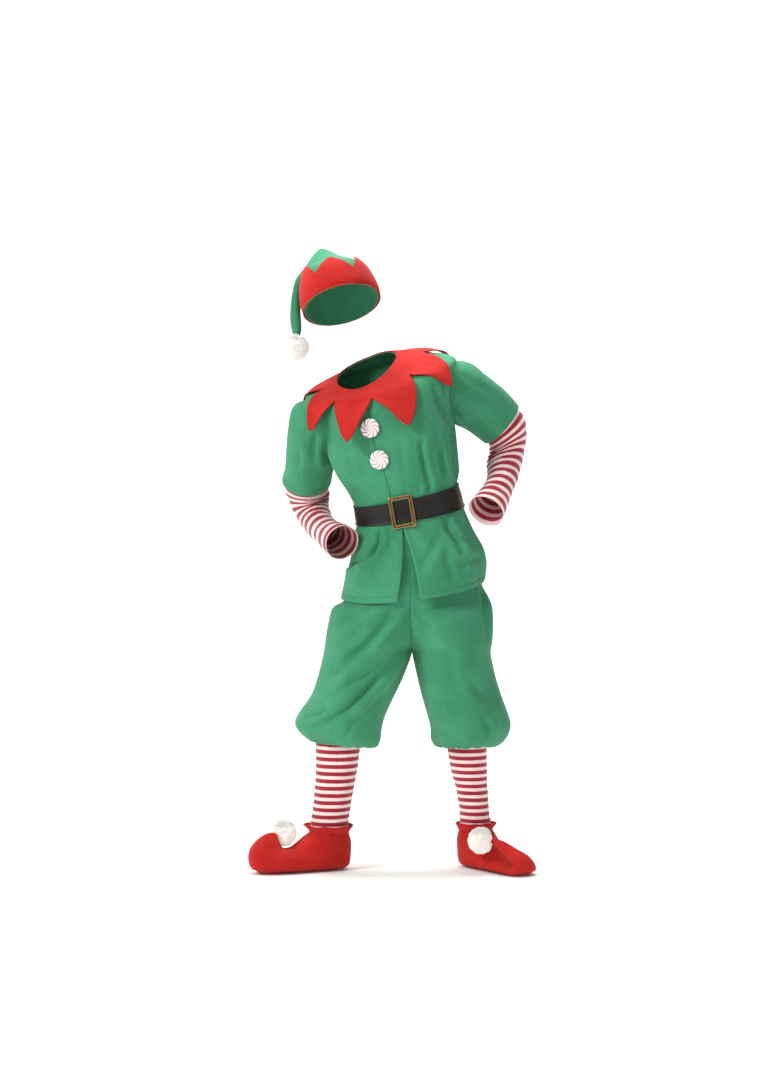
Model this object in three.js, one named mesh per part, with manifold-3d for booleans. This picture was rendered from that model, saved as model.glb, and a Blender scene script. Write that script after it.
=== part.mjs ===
import * as THREE from "three";
import Module from "manifold-3d";

const wasm = await Module();
wasm.setup();

// Millimetres, +Z up, the front faces -Y. "right" and "left" are the wearer's.
const rad = Math.PI / 180;
const clothThick = 2;
const feltThick = 2.4;
const strapThick = 2.6;
const seamGap = 0.34;
const sideGap = 0.26;
const layerGap = 0.45;
const cuffLift = 2.4;
const backDip = 5;
const shoulderDrop = 80;
const offEdge = new THREE.Vector3(0.017, 0.013, 0);
const collarReach = 60;
const collarGap = 2.4;
const frameHeight = 691;

const neck = { x: -50, y: 0, z: 1052 };

const ringColumns = [
  "x", "y", "z", "wide", "deep", "roll", "pitch", "yaw", "square", "dipFront", "dipBack", "spin",
];

// Hem to neck. wide and deep are half sizes, roll lifts the wearer's left side, pitch lowers the front,
// spin moves the centre front round the ring.
const tunicRings = table(ringColumns, [
  [48, 2, 591, 152, 122, 8, 11, -9, 2.2, 0, 0, -3],
  [52, 2, 627, 149, 118, 7, 10, -9, 2.2, 0, 0, -3],
  [53, 1, 665, 140, 107, 6, 9, -9, 2.2, 0, 0, -3],
  [48, 0, 705, 126, 91, 7, 9, -9, 2.2, 0, 0, -2.5],
  [42, 0, 743, 113.5, 86, 10, 9, -9, 2.2, 0, 0, -3],
  [38, 0, 765, 111.5, 85.5, 11.5, 9, -9, 2.2, 0, 0, -5.5],
  [33, 0, 787, 110.5, 86, 12.5, 9, -9, 2.2, 0, 0, -8],
  [29, 0, 812, 118, 88.5, 12, 8, -10, 2.2, 0, 0, -7],
  [20, 0, 841, 126, 93, 12, 7, -11, 2.3, 0, 0, -5],
  [9, 0, 878, 133, 96, 11, 6, -12, 2.4, 0, 0, -4.2],
  [-2, 0, 920, 139, 98, 11, 6, -12, 2.5, 0, 0, -3.8],
  [-13, 0, 966, 147, 98, 12, 8, -12, 2.5, 6, 0, -3.4],
  [-19, 0, 1008, 159, 93, 14, 10, -12, 2.4, 16, 0, -3],
  [-22, 0, 1038, 163, 86, 15.5, 12, -11, 2.3, 27, 0, -2.5],
  [-29, 0, 1045, 135, 79, 18, 14, -10, 2.2, 29, 0, -2],
  [-40, 0, 1055, 92, 69, 22, 16, -9, 2.1, 33, 0, -1],
  [-49, 0, 1058, 67, 60, 24, 17, -8, 2, 31, 0, 0],
]);

// Soft folds of the tunic: turn at the lower and upper end, ring numbers, depth and half width in degrees.
const foldColumns = ["turnLow", "turnHigh", "low", "high", "depth", "half"];
const tunicFolds = table(foldColumns, [
  [46, 40, 6.2, 11.5, 5, 13],
  [68, 62, 6.2, 10.8, 4, 12],
  [-52, -62, 6.2, 10.5, 4, 14],
  [150, 144, 6.2, 11, 5, 14],
  [196, 200, 6.2, 11.4, 5, 14],
  [236, 232, 6.2, 10.6, 4, 13],
  [-42, -30, 0, 3.8, 6, 13],
  [62, 48, 0, 3.8, 7, 13],
  [92, 80, 0, 3.8, 6, 13],
  [150, 156, 0, 3.8, 7, 15],
  [206, 200, 0, 3.8, 7, 15],
]);

// Green sleeves from inside the armhole to the hem.
const sleeveRightRings = table(ringColumns, [
  [-84, 0, 958, 49, 47, -80, 0, 0, 2],
  [-143, 4, 936, 56, 56, -71, 8, 0, 2],
  [-165, 14, 921, 66, 61, -60, 20, 0, 2],
  [-168, 28, 897, 60, 58, -48, 30, 0, 2],
  [-170, 46, 873, 55, 56, -32, 36, 0, 2],
  [-172, 64, 845, 51.5, 54, -14, 38, 0, 2],
  [-179, 80, 818, 51.5, 53, -4, 40, 0, 2],
]);
const sleeveLeftRings = table(ringColumns, [
  [70, 0, 1016, 55, 55, 97, 0, 0, 2],
  [117, 2, 1008, 61, 60, 89, 4, 0, 2],
  [151, 8, 999, 67, 61, 80, 8, 0, 2],
  [180, 16, 982, 62, 58, 72, 12, 0, 2],
  [208, 26, 963, 58, 55, 63, 14, 0, 2],
  [236, 36, 937, 53.5, 53, 51, 15, 0, 2],
]);

// Striped sleeves from inside the green hem to the wrist.
const cuffRightRings = [
  inside(ringAt(sleeveRightRings, 4.8)),
  ...table(ringColumns, [
    [-178, 80, 817, 46.5, 46, -4, 38, 0, 2],
    [-177, 97, 794, 47, 46, -1, 24, 0, 2],
    [-172, 103, 771, 42, 43, 8, 4, 0, 2],
    [-166, 96, 750, 36.5, 40, 20, -20, 0, 2],
    [-157, 76, 733, 33.5, 37, 28, -40, 0, 2],
    [-146, 44, 719, 32, 35, 34, -52, 0, 2],
    [-131, 8, 706, 32, 34, 42, -56, 0, 2],
    [-115, -30, 696, 34, 35, 50, -57, 0, 2],
    [-99, -67, 686, 37, 37, 57, -57, 0, 2],
  ]),
];
const cuffLeftRings = [
  inside(ringAt(sleeveLeftRings, 4.2)),
  ...table(ringColumns, [
    [234, 38, 939, 46.5, 46, 49, 14, 0, 2],
    [247, 48, 924, 48.5, 47, 42, 12, 0, 2],
    [251, 58, 902, 47, 46, 32, 6, 0, 2],
    [249, 60, 880, 43.5, 43, 22, -8, 0, 2],
    [245, 52, 858, 39.5, 40, 14, -22, 0, 2],
    [241, 36, 837, 35.5, 37, 7, -34, 0, 2],
    [234, 14, 814, 32, 35, -3, -40, 0, 2],
    [223, -10, 791, 32.5, 34, -14, -42, 0, 2],
    [210, -34, 769, 35.5, 36, -24, -42, 0, 2],
    [199, -52, 751, 38, 38, -32, -42, 0, 2],
  ]),
];

// Collar from the neck edge to the ring on which the petal tips lie.
const collarRings = table(ringColumns, [
  [-49, 0, 1059, 67, 60, 24, 17, -8, 2, 31, 0],
  [-40, -3, 1063, 104, 86, 21, 16, -6, 2.2, 49, 4],
  [-31, -6, 1061, 144, 109, 19, 15, -3, 2.4, 70, 30],
  [-23, -9, 1042, 174, 127, 18, 15, -1, 2.5, 100, 76],
]);
const petals = { columnsEach: 6, valley: 0.4, point: 0.9 };

// One row for each petal from the wearer's left of the centre front: reach of the tip, and its lean in degrees.
const petalRows = table(["tip", "lean"], [
  [1.04, -9],
  [1.02, -10],
  [1, -6],
  [1, 0],
  [1, 0],
  [1, 4],
  [1.08, 5],
  [1.02, 1],
]);

const buttons = { across: 39, thick: 5, rim: 1.6, turns: 20 };
const buttonPlaces = table(["name", "turn", "ring"], [
  ["button_upper", 0, 10.45],
  ["button_lower", 0, 8.85],
]);

const belt = { low: 4, high: 6 };
const buckle = { wide: 50, tall: 66, bar: 8, thick: 4, ring: 5, turn: 5, lift: 3.1, steps: 4 };

// Breeches: outer seam, inner seam or centre seam, and how far past the front centre the inner edge lies.
const legColumns = ["z", "y", "outer", "inner", "deep", "open", "slope"];
const legRightRows = table(legColumns, [
  [742, 0, -62, 37.9, 74, 0, 0.14],
  [690, 0, -66, 39.9, 82, 0, 0.1],
  [640, 1, -78, 40.9, 91, 3, 0.06],
  [594, 1, -88, 41.9, 99, 7, 0.03],
  [552, 2, -98, 41.9, 103, 12, -0.08],
  [532, 2, -121, 41.9, 110, 22, -0.1],
  [510, 2, -131, 42.9, 115, 34, 0],
  [478, 2, -136, 43.9, 115, 56, 0],
  [452, 1, -140, 45.5, 109, 90, 0],
  [404, 0, -152, 28, 98, 90, 0],
  [362, -3, -166, 8, 94, 90, -0.02],
  [322, -5, -190, -10, 91, 90, -0.05],
  [296, -7, -199, -17, 88, 90, -0.08],
  [272, -8, -193, -20, 80, 90, -0.12],
  [257, -9, -173, -30, 64, 90, -0.12],
  [262, -9, -157, -61, 49, 90, -0.06],
]);
const legLeftRows = table(legColumns, [
  [742, 0, 138, 38.1, 74, 0, 0.2],
  [690, 0, 148, 40.1, 82, 0, 0.14],
  [640, 1, 174, 41.1, 91, 3, 0.1],
  [594, 1, 191, 42.1, 99, 7, 0.06],
  [552, 2, 206, 42.1, 103, 12, 0.12],
  [532, 2, 215, 42.1, 110, 22, 0.1],
  [510, 2, 216, 43.1, 115, 34, 0],
  [478, 2, 215, 44.1, 115, 56, 0],
  [452, 1, 212, 46.5, 109, 90, 0],
  [404, 2, 222, 57, 98, 90, 0],
  [362, 4, 234, 67, 94, 90, 0.02],
  [322, 6, 248, 79, 91, 90, 0.03],
  [296, 7, 254, 85, 88, 90, 0.04],
  [272, 8, 246, 86, 80, 90, 0.03],
  [256, 9, 226, 98, 64, 90, 0.02],
  [262, 9, 206, 119, 49, 90, 0.02],
]);

// Folds of the breeches: place across the panel at the upper and lower end, rows, depth and half width.
const legFoldColumns = ["acrossHigh", "acrossLow", "high", "low", "depth", "half"];
const legRightFolds = table(legFoldColumns, [
  [0.86, 0.2, 6.6, 10.8, 8, 0.1],
  [0.78, 0.36, 9, 13, 8, 0.1],
  [0.6, 0.26, 4.8, 7.6, 5, 0.11],
]);
const legLeftFolds = table(legFoldColumns, [
  [0.26, 0.2, 5.6, 12.6, 7, 0.09],
  [0.76, 0.62, 7.2, 10.5, 5, 0.11],
]);

const stockingRightRings = table(ringColumns, [
  [-110, -9, 288, 47, 46, 0, 0, 0, 2, 0, 0],
  [-109, -9, 258, 46.4, 46.8, 0, 0, 0, 2, 0, 0],
  [-112, -8, 210, 43.7, 45, 0, 0, 0, 2, 0, 0],
  [-118, -6, 163, 41, 43, 0, 0, 0, 2, 0, 0],
  [-124, -4, 118, 39.8, 40.5, 0, 0, 0, 2, 0, 0],
  [-127, -3, 92, 40, 40, 0, 0, 0, 2, 0, 0],
  [-128, -3, 64, 37, 37, 0, 0, 0, 2, 0, 0],
]);
const stockingLeftRings = table(ringColumns, [
  [162, 7, 288, 43, 45, 0, 0, 0, 2, 0, 0],
  [162, 8, 258, 42.1, 44.5, 0, 0, 0, 2, 0, 0],
  [166, 13, 210, 38.5, 42, 0, 0, 0, 2, 0, 0],
  [173, 22, 163, 33.5, 38, 0, 0, 0, 2, 0, 0],
  [178, 28, 120, 31.8, 35, 0, 0, 0, 2, 0, 0],
  [181, 30, 92, 33, 33.5, 0, 0, 0, 2, 0, 0],
  [181, 31, 64, 31, 31, 0, 0, 0, 2, 0, 0],
]);

// Boot covers: sections fanning from the ankle round the heel to the curled tip, measured along the foot.
const sectionColumns = ["topAlong", "topZ", "lowAlong", "lowZ", "half", "side"];
const bootRightSections = table(sectionColumns, [
  [53, 95, -51, 93, 48],
  [47, 88, -45, 86, 45],
  [41.5, 79, -41.5, 77, 41.3],
  [56, 69, -46, 60, 42],
  [70, 59, -47, 34, 40],
  [79, 53, -41, 8, 39],
  [86, 50, -18, 0, 39],
  [92, 49, 32, 0, 41],
  [98, 50, 78, 0, 42],
  [104, 53, 116, 0, 42],
  [108, 58, 146, 1, 39],
  [110, 63, 169, 12, 34],
  [111, 67, 175, 34, 28],
  [112, 70, 168, 57, 22],
  [113, 73, 152, 74, 15],
  [113, 76, 132, 83, 9],
  [112, 78, 119, 83, 4],
]);
const bootLeftSections = table(sectionColumns, [
  [44, 95, -42, 93, 40],
  [40, 88, -38, 86, 38],
  [35.5, 79, -35.5, 77, 35.1],
  [50, 67, -41, 60, 36],
  [64, 55, -43, 34, 36],
  [76, 46, -38, 8, 36],
  [88, 39, -18, 0, 37],
  [101, 32, 28, 0, 38],
  [114, 26, 72, 0, 39],
  [126, 22, 110, 0, 39],
  [134, 20, 140, 0, 36],
  [138, 21, 162, 9, 31, -2],
  [137, 25, 167, 26, 26, -5],
  [130, 32, 157, 44, 21, -10],
  [114, 42, 132, 57, 16, -18],
  [97, 56, 110, 69, 11, -27],
  [86, 64, 94, 74, 6, -32],
]);
const bootSeamHeight = 7;
const bootRight = { sections: bootRightSections, x: -128, y: -3, heading: -69 };
const bootLeft = { sections: bootLeftSections, x: 181, y: 31, heading: 40 };

const hatRings = table(["lowX", "lowZ", "highX", "highZ", "y", "deep", "pitch", "square"], [
  [-178, 1165, -24.5, 1205, 5, 98, -17, 2],
  [-185, 1185, -26, 1219, 6, 97, -15, 2],
  [-187, 1212, -35, 1238, 8, 91, -13, 2],
  [-185, 1238, -49, 1260, 11, 81, -10, 2],
  [-181, 1256, -69, 1278, 16, 67, -6, 2],
  [-180, 1260, -98, 1289, 24, 53, 0, 2],
  [-181, 1261, -126, 1302, 33, 41, 0, 2],
  [-183, 1260, -148, 1308, 42, 31, 0, 2],
  [-184, 1258, -166, 1292, 48, 23, 0, 2],
  [-185, 1250, -181, 1271, 51, 16, 0, 2],
  [-185, 1236, -199, 1250, 52, 13, 0, 2],
  [-188, 1215, -208, 1219, 52, 12, 0, 2],
  [-190, 1180, -212, 1180, 49, 12, 0, 2],
  [-187, 1150, -211, 1150, 42, 12, 0, 2],
  [-189, 1122, -205, 1122, 33, 9, 0, 2],
]);
const hatCuff = { low: 0.03, valley: 2.2, peak: 4.1, peaks: 6, columnsEach: 6, turn: 0 };

const pompom = { across: 56, core: 0.62, lock: 0.9 };
const pompomPlaces = table(["name", "x", "y", "z"], [
  ["hat_pompom", -199, 29, 1098],
  ["shoe_right_pompom", -222, -27, 80],
  ["shoe_left_pompom", 189, -58, 69],
]);

const colours = {
  green: [0x4a9472, 0.85],
  red: [0xc22f2b, 0.9],
  stripe: [0xa5304a, 0.85],
  black: [0x2a2422, 0.45],
  brass: [0x8a6f3e, 0.38],
  white: [0xefe9e6, 0.95],
  mint: [0xf2eceb, 0.3],
};

function table(names, rows) {
  return rows.map((row) => Object.fromEntries(names.map((name, i) => [name, row[i] ?? 0])));
}

function blend(rows, place, name) {
  const last = rows.length - 1;
  const k = Math.min(Math.max(Math.floor(place), 0), last - 1);
  const f = place - k;
  const at = (i) => rows[Math.min(Math.max(i, 0), last)][name];
  const [a, b, c, d] = [at(k - 1), at(k), at(k + 1), at(k + 2)];
  return b + 0.5 * f * (c - a + f * (2 * a - 5 * b + 4 * c - d + f * (3 * (b - c) + d - a)));
}

function ringAt(rows, place) {
  return Object.fromEntries(ringColumns.map((name) => [name, blend(rows, place, name)]));
}

function inside(ring) {
  const step = clothThick + 3 * layerGap;
  return { ...ring, wide: ring.wide - step, deep: ring.deep - step };
}

function ringPoint(ring, turn, push) {
  const s = Math.sin((turn + ring.spin) * rad);
  const c = Math.cos((turn + ring.spin) * rad);
  const power = 2 / ring.square;
  const p = new THREE.Vector3(
    ring.wide * Math.sign(s) * Math.abs(s) ** power,
    -ring.deep * Math.sign(c) * Math.abs(c) ** power,
    0,
  );
  p.setLength(p.length() + push);
  p.applyAxisAngle(new THREE.Vector3(0, 0, 1), ring.yaw * rad);
  p.applyAxisAngle(new THREE.Vector3(1, 0, 0), ring.pitch * rad);
  p.applyAxisAngle(new THREE.Vector3(0, 1, 0), -ring.roll * rad);
  p.z -= ring.dipFront * ((1 + c) / 2) ** 2 + ring.dipBack * ((1 - c) / 2) ** backDip;
  return p.add(new THREE.Vector3(ring.x, ring.y, ring.z));
}

function bump(x) {
  return Math.abs(x) < 1 ? (1 - x * x) ** 2 : 0;
}

// The inner point that outward is judged from lies shoulderDrop lower past the ring named crest.
function ringSurface(rows, folds = [], crest = Infinity) {
  const point = (turn, place) => {
    let push = 0;
    for (const fold of folds) {
      const f = (place - fold.low) / (fold.high - fold.low);
      const centre = fold.turnLow + (fold.turnHigh - fold.turnLow) * f;
      const off = (((turn - centre + 540) % 360) + 360) % 360 - 180;
      push += fold.depth * bump(off / fold.half) * bump(2 * f - 1);
    }
    return ringPoint(ringAt(rows, place), turn, push);
  };
  const centre = (place) => {
    const r = ringAt(rows, place);
    return new THREE.Vector3(r.x, r.y, r.z - (place > crest ? shoulderDrop : 0));
  };
  return { point, centre };
}

// Breeches: 0 is the outer seam and 1 the inner edge; side is 1 for the front and -1 for the back.
function legSurface(rows, folds, side) {
  const at = (place) => {
    const get = (name) => blend(rows, place, name);
    const open = Math.min(get("open"), 90);
    const reach = (get("outer") - get("inner")) / (1 + Math.sin(open * rad));
    return {
      reach, middle: get("outer") - reach, outer: get("outer"), inner: get("inner"),
      z: get("z"), y: get("y"), deep: get("deep"), slope: get("slope"),
    };
  };
  const point = (across, place) => {
    const leg = at(place);
    const share = (1 - Math.cos(Math.PI * across)) / 2;
    const x = leg.outer + (leg.inner - leg.outer) * share;
    const sine = Math.min(Math.max((x - leg.middle) / leg.reach, -1), 1);
    let push = 0;
    for (const fold of folds) {
      const f = (place - fold.high) / (fold.low - fold.high);
      const centre = fold.acrossHigh + (fold.acrossLow - fold.acrossHigh) * f;
      push += fold.depth * bump((across - centre) / fold.half) * bump(2 * f - 1);
    }
    const y = leg.y - side * (leg.deep - push) * Math.sqrt(1 - sine * sine);
    return new THREE.Vector3(x, y, leg.z + leg.slope * (x - leg.inner));
  };
  const centre = (place) => {
    const leg = at(place);
    return new THREE.Vector3(leg.middle, leg.y, leg.z + leg.slope * (leg.middle - leg.inner));
  };
  return { point, centre };
}

function sectionSurface(boot) {
  const heading = boot.heading * rad;
  const along = new THREE.Vector3(Math.sin(heading), -Math.cos(heading), 0);
  const aside = new THREE.Vector3(Math.cos(heading), Math.sin(heading), 0);
  const spot = (f, z, side) =>
    new THREE.Vector3(boot.x, boot.y, z).addScaledVector(along, f).addScaledVector(aside, side);
  const ends = (place) => {
    const get = (name) => blend(boot.sections, place, name);
    return {
      top: spot(get("topAlong"), get("topZ"), get("side")),
      low: spot(get("lowAlong"), get("lowZ"), get("side")),
      half: get("half"),
    };
  };
  const point = (turn, place) => {
    const { top, low, half } = ends(place);
    const power = 2 / 2.3;
    const s = Math.sin(turn * rad);
    const c = Math.cos(turn * rad);
    const p = top.clone().add(low).multiplyScalar(0.5);
    p.addScaledVector(top.clone().sub(low).multiplyScalar(0.5), Math.sign(c) * Math.abs(c) ** power);
    p.addScaledVector(aside, half * Math.sign(s) * Math.abs(s) ** power);
    p.z = Math.max(p.z, 0);
    return p;
  };
  const centre = (place) => {
    const { top, low } = ends(place);
    const p = top.add(low).multiplyScalar(0.5);
    p.z = Math.max(p.z, clothThick * 2);
    return p;
  };
  return { point, centre, along, aside };
}

function hatSurface(rows) {
  const ringOf = (place) => {
    const get = (name) => blend(rows, place, name);
    const dx = get("highX") - get("lowX");
    const dz = get("highZ") - get("lowZ");
    return {
      x: (get("highX") + get("lowX")) / 2, y: get("y"), z: (get("highZ") + get("lowZ")) / 2,
      wide: Math.hypot(dx, dz) / 2, deep: get("deep"), roll: Math.atan2(dz, dx) / rad,
      pitch: get("pitch"), yaw: 0, square: get("square"), dipFront: 0, dipBack: 0, spin: 0,
    };
  };
  const point = (turn, place) => ringPoint(ringOf(place), turn, 0);
  const centre = (place) => {
    const r = ringOf(place);
    return new THREE.Vector3(r.x, r.y, r.z);
  };
  return { point, centre };
}

function outward(surface, a, place) {
  const step = surface.step ?? 0.5;
  const across = surface.point(a + step, place).sub(surface.point(a - step, place));
  const along = surface.point(a, place + 0.03).sub(surface.point(a, place - 0.03));
  const n = across.cross(along).normalize();
  const away = surface.point(a, place).sub(surface.centre(place));
  return n.dot(away) < 0 ? n.negate() : n;
}

function placesBetween(low, high, steps) {
  return Array.from({ length: steps + 1 }, (_, i) => low + ((high - low) * i) / steps);
}

function volumeOf(points, faces) {
  const v = (i) => points[i];
  return faces.reduce((sum, [a, b, c]) => sum + v(a).dot(v(b).clone().cross(v(c))) / 6, 0);
}

function facing(points, faces) {
  if (volumeOf(points, faces) < 0) {
    faces.forEach((face) => face.reverse());
  }
  return { points, faces };
}

// Two grids of points joined by their edges; grids are [level][column].
function joinGrids(outer, inner, closed) {
  const levels = outer.length;
  const columns = outer[0].length;
  const points = [...outer.flat(), ...inner.flat()];
  const shift = levels * columns;
  const faces = [];
  const quad = (a, b, c, d) => faces.push([a, b, c], [a, c, d]);
  const spans = closed ? columns : columns - 1;
  for (let j = 0; j < levels - 1; j += 1) {
    for (let i = 0; i < spans; i += 1) {
      const k = (i + 1) % columns;
      const [a, b, c, d] = [j * columns + i, j * columns + k, (j + 1) * columns + k, (j + 1) * columns + i];
      quad(a, b, c, d);
      quad(d + shift, c + shift, b + shift, a + shift);
    }
    if (!closed) {
      const [a, d] = [j * columns, (j + 1) * columns];
      quad(d, d + shift, a + shift, a);
      const [b, c] = [a + columns - 1, d + columns - 1];
      quad(b, b + shift, c + shift, c);
    }
  }
  for (let i = 0; i < spans; i += 1) {
    const k = (i + 1) % columns;
    quad(k, i, i + shift, k + shift);
    const top = (levels - 1) * columns;
    quad(top + i, top + k, top + k + shift, top + i + shift);
  }
  return facing(points, faces);
}

// A cut piece: from and to give the edges at each level, lift raises it off the surface.
function wall(surface, { from, to, columns, levels, thick, lift, closed }) {
  const outer = [];
  const inner = [];
  for (const level of levels) {
    const [start, end] = [from(level), to(level)];
    const rowOut = [];
    const rowIn = [];
    for (let i = 0; i < (closed ? columns : columns + 1); i += 1) {
      const a = start + ((end - start) * i) / columns;
      const n = outward(surface, a, level);
      const p = surface.point(a, level);
      rowOut.push(p.clone().addScaledVector(n, lift === undefined ? 0 : lift + thick));
      rowIn.push(p.clone().addScaledVector(n, lift === undefined ? -thick : lift));
    }
    outer.push(rowOut);
    inner.push(rowIn);
  }
  return joinGrids(outer, inner, closed);
}

// Pulls an edge in by half the seam gap, measured on the surface.
function pulled(surface, edge, way, gap = seamGap / 2) {
  return (level) => {
    const a = edge(level);
    const start = surface.point(a, level);
    let [near, far] = [0, (surface.step ?? 0.5) * 20];
    for (let i = 0; i < 24; i += 1) {
      const middle = (near + far) / 2;
      if (surface.point(a + way * middle, level).distanceTo(start) < gap) {
        near = middle;
      } else {
        far = middle;
      }
    }
    return a + way * near;
  };
}

function tube(surface, columns, levels, thick) {
  return wall(surface, { from: () => 0, to: () => 360, columns, levels, thick, closed: true });
}

function filled(surface, columns, levels, lift) {
  const points = [];
  const faces = [];
  for (const level of levels) {
    for (let i = 0; i < columns; i += 1) {
      const turn = (360 * i) / columns;
      points.push(surface.point(turn, level).addScaledVector(outward(surface, turn, level), lift));
    }
  }
  const last = (levels.length - 1) * columns;
  for (let j = 0; j < levels.length - 1; j += 1) {
    for (let i = 0; i < columns; i += 1) {
      const k = (i + 1) % columns;
      const [a, b, c, d] = [j * columns + i, j * columns + k, (j + 1) * columns + k, (j + 1) * columns + i];
      faces.push([a, b, c], [a, c, d]);
    }
  }
  points.push(surface.centre(levels[0]), surface.centre(levels.at(-1)));
  for (let i = 0; i < columns; i += 1) {
    const k = (i + 1) % columns;
    faces.push([k, i, points.length - 2], [last + i, last + k, points.length - 1]);
  }
  return facing(points, faces);
}

function toSolid({ points, faces }) {
  const mesh = new wasm.Mesh({
    numProp: 3,
    vertProperties: new Float32Array(points.flatMap((p) => [p.x, p.y, p.z])),
    triVerts: new Uint32Array(faces.flat()),
  });
  mesh.merge();
  return new wasm.Manifold(mesh);
}

function fromSolid(solid) {
  const mesh = solid.getMesh();
  const points = [];
  for (let i = 0; i < mesh.vertProperties.length; i += mesh.numProp) {
    points.push(new THREE.Vector3().fromArray(mesh.vertProperties, i));
  }
  const faces = [];
  for (let i = 0; i < mesh.triVerts.length; i += 3) {
    faces.push([mesh.triVerts[i], mesh.triVerts[i + 1], mesh.triVerts[i + 2]]);
  }
  return { points, faces };
}

function largestOf(solid) {
  const parts = solid.decompose();
  return parts.reduce((best, part) => (part.volume() > best.volume() ? part : best));
}

const root = new THREE.Group();
root.name = "elf_costume";

function geometryOf({ points, faces }) {
  const geometry = new THREE.BufferGeometry().setFromPoints(points);
  geometry.setIndex(faces.flat());
  geometry.computeVertexNormals();
  return geometry;
}

function add(name, shape, [colour, roughness], metalness = 0) {
  const geometry = geometryOf(shape).translate(-neck.x, -neck.y, -neck.z);
  const mesh = new THREE.Mesh(geometry, new THREE.MeshStandardMaterial({ color: colour, roughness, metalness }));
  mesh.name = name;
  root.add(mesh);
}

// Tunic.
const tunic = ringSurface(tunicRings, tunicFolds, 10);
const tunicLevels = placesBetween(0, tunicRings.length - 1, tunicRings.length - 1);
const slit = { top: 3.7, right: -2.5, left: 13 };
const slitEdge = (turn) => (level) => (level < slit.top ? turn * (1 - level / slit.top) : 0);
const sleeveRight = ringSurface(sleeveRightRings);
const sleeveLeft = ringSurface(sleeveLeftRings);
const sleeveColumns = 20;
const sleeveLevels = (rings) => placesBetween(0, rings.length - 1, rings.length - 1);
const armholes = [
  toSolid(filled(sleeveRight, sleeveColumns, sleeveLevels(sleeveRightRings), seamGap)),
  toSolid(filled(sleeveLeft, sleeveColumns, sleeveLevels(sleeveLeftRings), seamGap)),
];
const hollow = toSolid(filled(tunic, 40, tunicLevels, -clothThick));

const tunicPanels = [
  { name: "tunic_front_left", from: slitEdge(slit.left), to: () => 90, columns: 10 },
  { name: "tunic_back", from: () => 90, to: () => 270, columns: 20 },
  { name: "tunic_front_right", from: () => 270, to: (level) => 360 + slitEdge(slit.right)(level), columns: 10 },
];
for (const { name, from, to, columns } of tunicPanels) {
  const shape = wall(tunic, {
    from: pulled(tunic, from, 1, sideGap), to: pulled(tunic, to, -1, sideGap),
    columns, levels: tunicLevels, thick: clothThick,
  });
  const cut = toSolid(shape).subtract(armholes[0]).subtract(armholes[1]);
  add(name, fromSolid(largestOf(cut)), colours.green);
}

const greenSleeves = [
  ["sleeve_right", sleeveRight, sleeveRightRings],
  ["sleeve_left", sleeveLeft, sleeveLeftRings],
];
for (const [name, surface, rings] of greenSleeves) {
  const whole = toSolid(tube(surface, sleeveColumns, sleeveLevels(rings), clothThick));
  add(name, fromSolid(largestOf(whole.subtract(hollow))), colours.green);
}
for (const [name, rings] of [["striped_sleeve_right", cuffRightRings], ["striped_sleeve_left", cuffLeftRings]]) {
  const surface = ringSurface(rings);
  add(name, tube(surface, 16, sleeveLevels(rings), clothThick), colours.stripe);
}

// Collar.
function petalReach(turn) {
  const place = (((turn * petalRows.length) / 360) % petalRows.length + petalRows.length) % petalRows.length;
  const { tip, lean } = petalRows[Math.floor(place) % petalRows.length];
  const point = (1 - Math.abs(2 * (place % 1) - 1)) ** petals.point;
  return { reach: petals.valley + (tip - petals.valley) * point, lean: lean * point ** 0.85 };
}
const collarForm = ringSurface(collarRings, [], -1);
const collarSpot = (turn, level) => {
  const { reach, lean } = petalReach(turn);
  return [turn + lean * level, level * reach * (collarRings.length - 1)];
};
const collarColumns = petalRows.length * petals.columnsEach;
const supports = [
  filled(tunic, 40, tunicLevels, 0),
  filled(sleeveRight, sleeveColumns, sleeveLevels(sleeveRightRings), 0),
  filled(sleeveLeft, sleeveColumns, sleeveLevels(sleeveLeftRings), 0),
].map((shape) => new THREE.Mesh(geometryOf(shape), new THREE.MeshStandardMaterial({ side: THREE.DoubleSide })));
const caster = new THREE.Raycaster();

// How far a point must move along n to stand clear of the cloth under it.
function rise(turn, level, n) {
  const p = collarForm.point(...collarSpot(turn, level));
  caster.set(p.clone().addScaledVector(n, collarReach).add(offEdge), n.clone().negate());
  const [hit] = caster.intersectObjects(supports);
  return hit ? Math.max(collarReach - hit.distance + collarGap, 0) : 0;
}

const collarRows = placesBetween(0, 1, 4).map((level) =>
  placesBetween(0, 360, collarColumns).slice(0, -1).map((turn) => {
    const spot = collarSpot(turn, level);
    const p = collarForm.point(...spot);
    const n = outward(collarForm, ...spot);
    const half = 180 / collarColumns;
    const near = [-half, 0, half].flatMap((aside) =>
      [-0.12, 0, 0.12].map((along) => rise(turn + aside, Math.min(Math.max(level + along, 0), 1), n)));
    return { p, n, up: level ? Math.max(...near) : Math.max(near[4] - collarGap + layerGap, 0) };
  }));
for (let pass = 0; pass < 3; pass += 1) {
  const before = collarRows.map((row) => row.map(({ up }) => up));
  collarRows.forEach((row, j) => row.forEach((spot, i) => {
    const side = (k) => before[j][(i + k + collarColumns) % collarColumns];
    const level = (k) => before[Math.min(Math.max(j + k, 0), before.length - 1)][i];
    spot.up = Math.max(spot.up, (side(-1) + side(1) + level(-1) + level(1)) / 4);
  }));
}
const collarFace = (depth) =>
  collarRows.map((row) => row.map(({ p, n, up }) => p.clone().addScaledVector(n, up + depth)));
const collarWhole = toSolid(joinGrids(collarFace(feltThick), collarFace(0), true));
const skin = toSolid(filled(tunic, 40, tunicLevels, seamGap));
const collarCut = collarWhole.subtract(skin).subtract(armholes[0]).subtract(armholes[1]);
add("collar", fromSolid(largestOf(collarCut)), colours.red);

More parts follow.
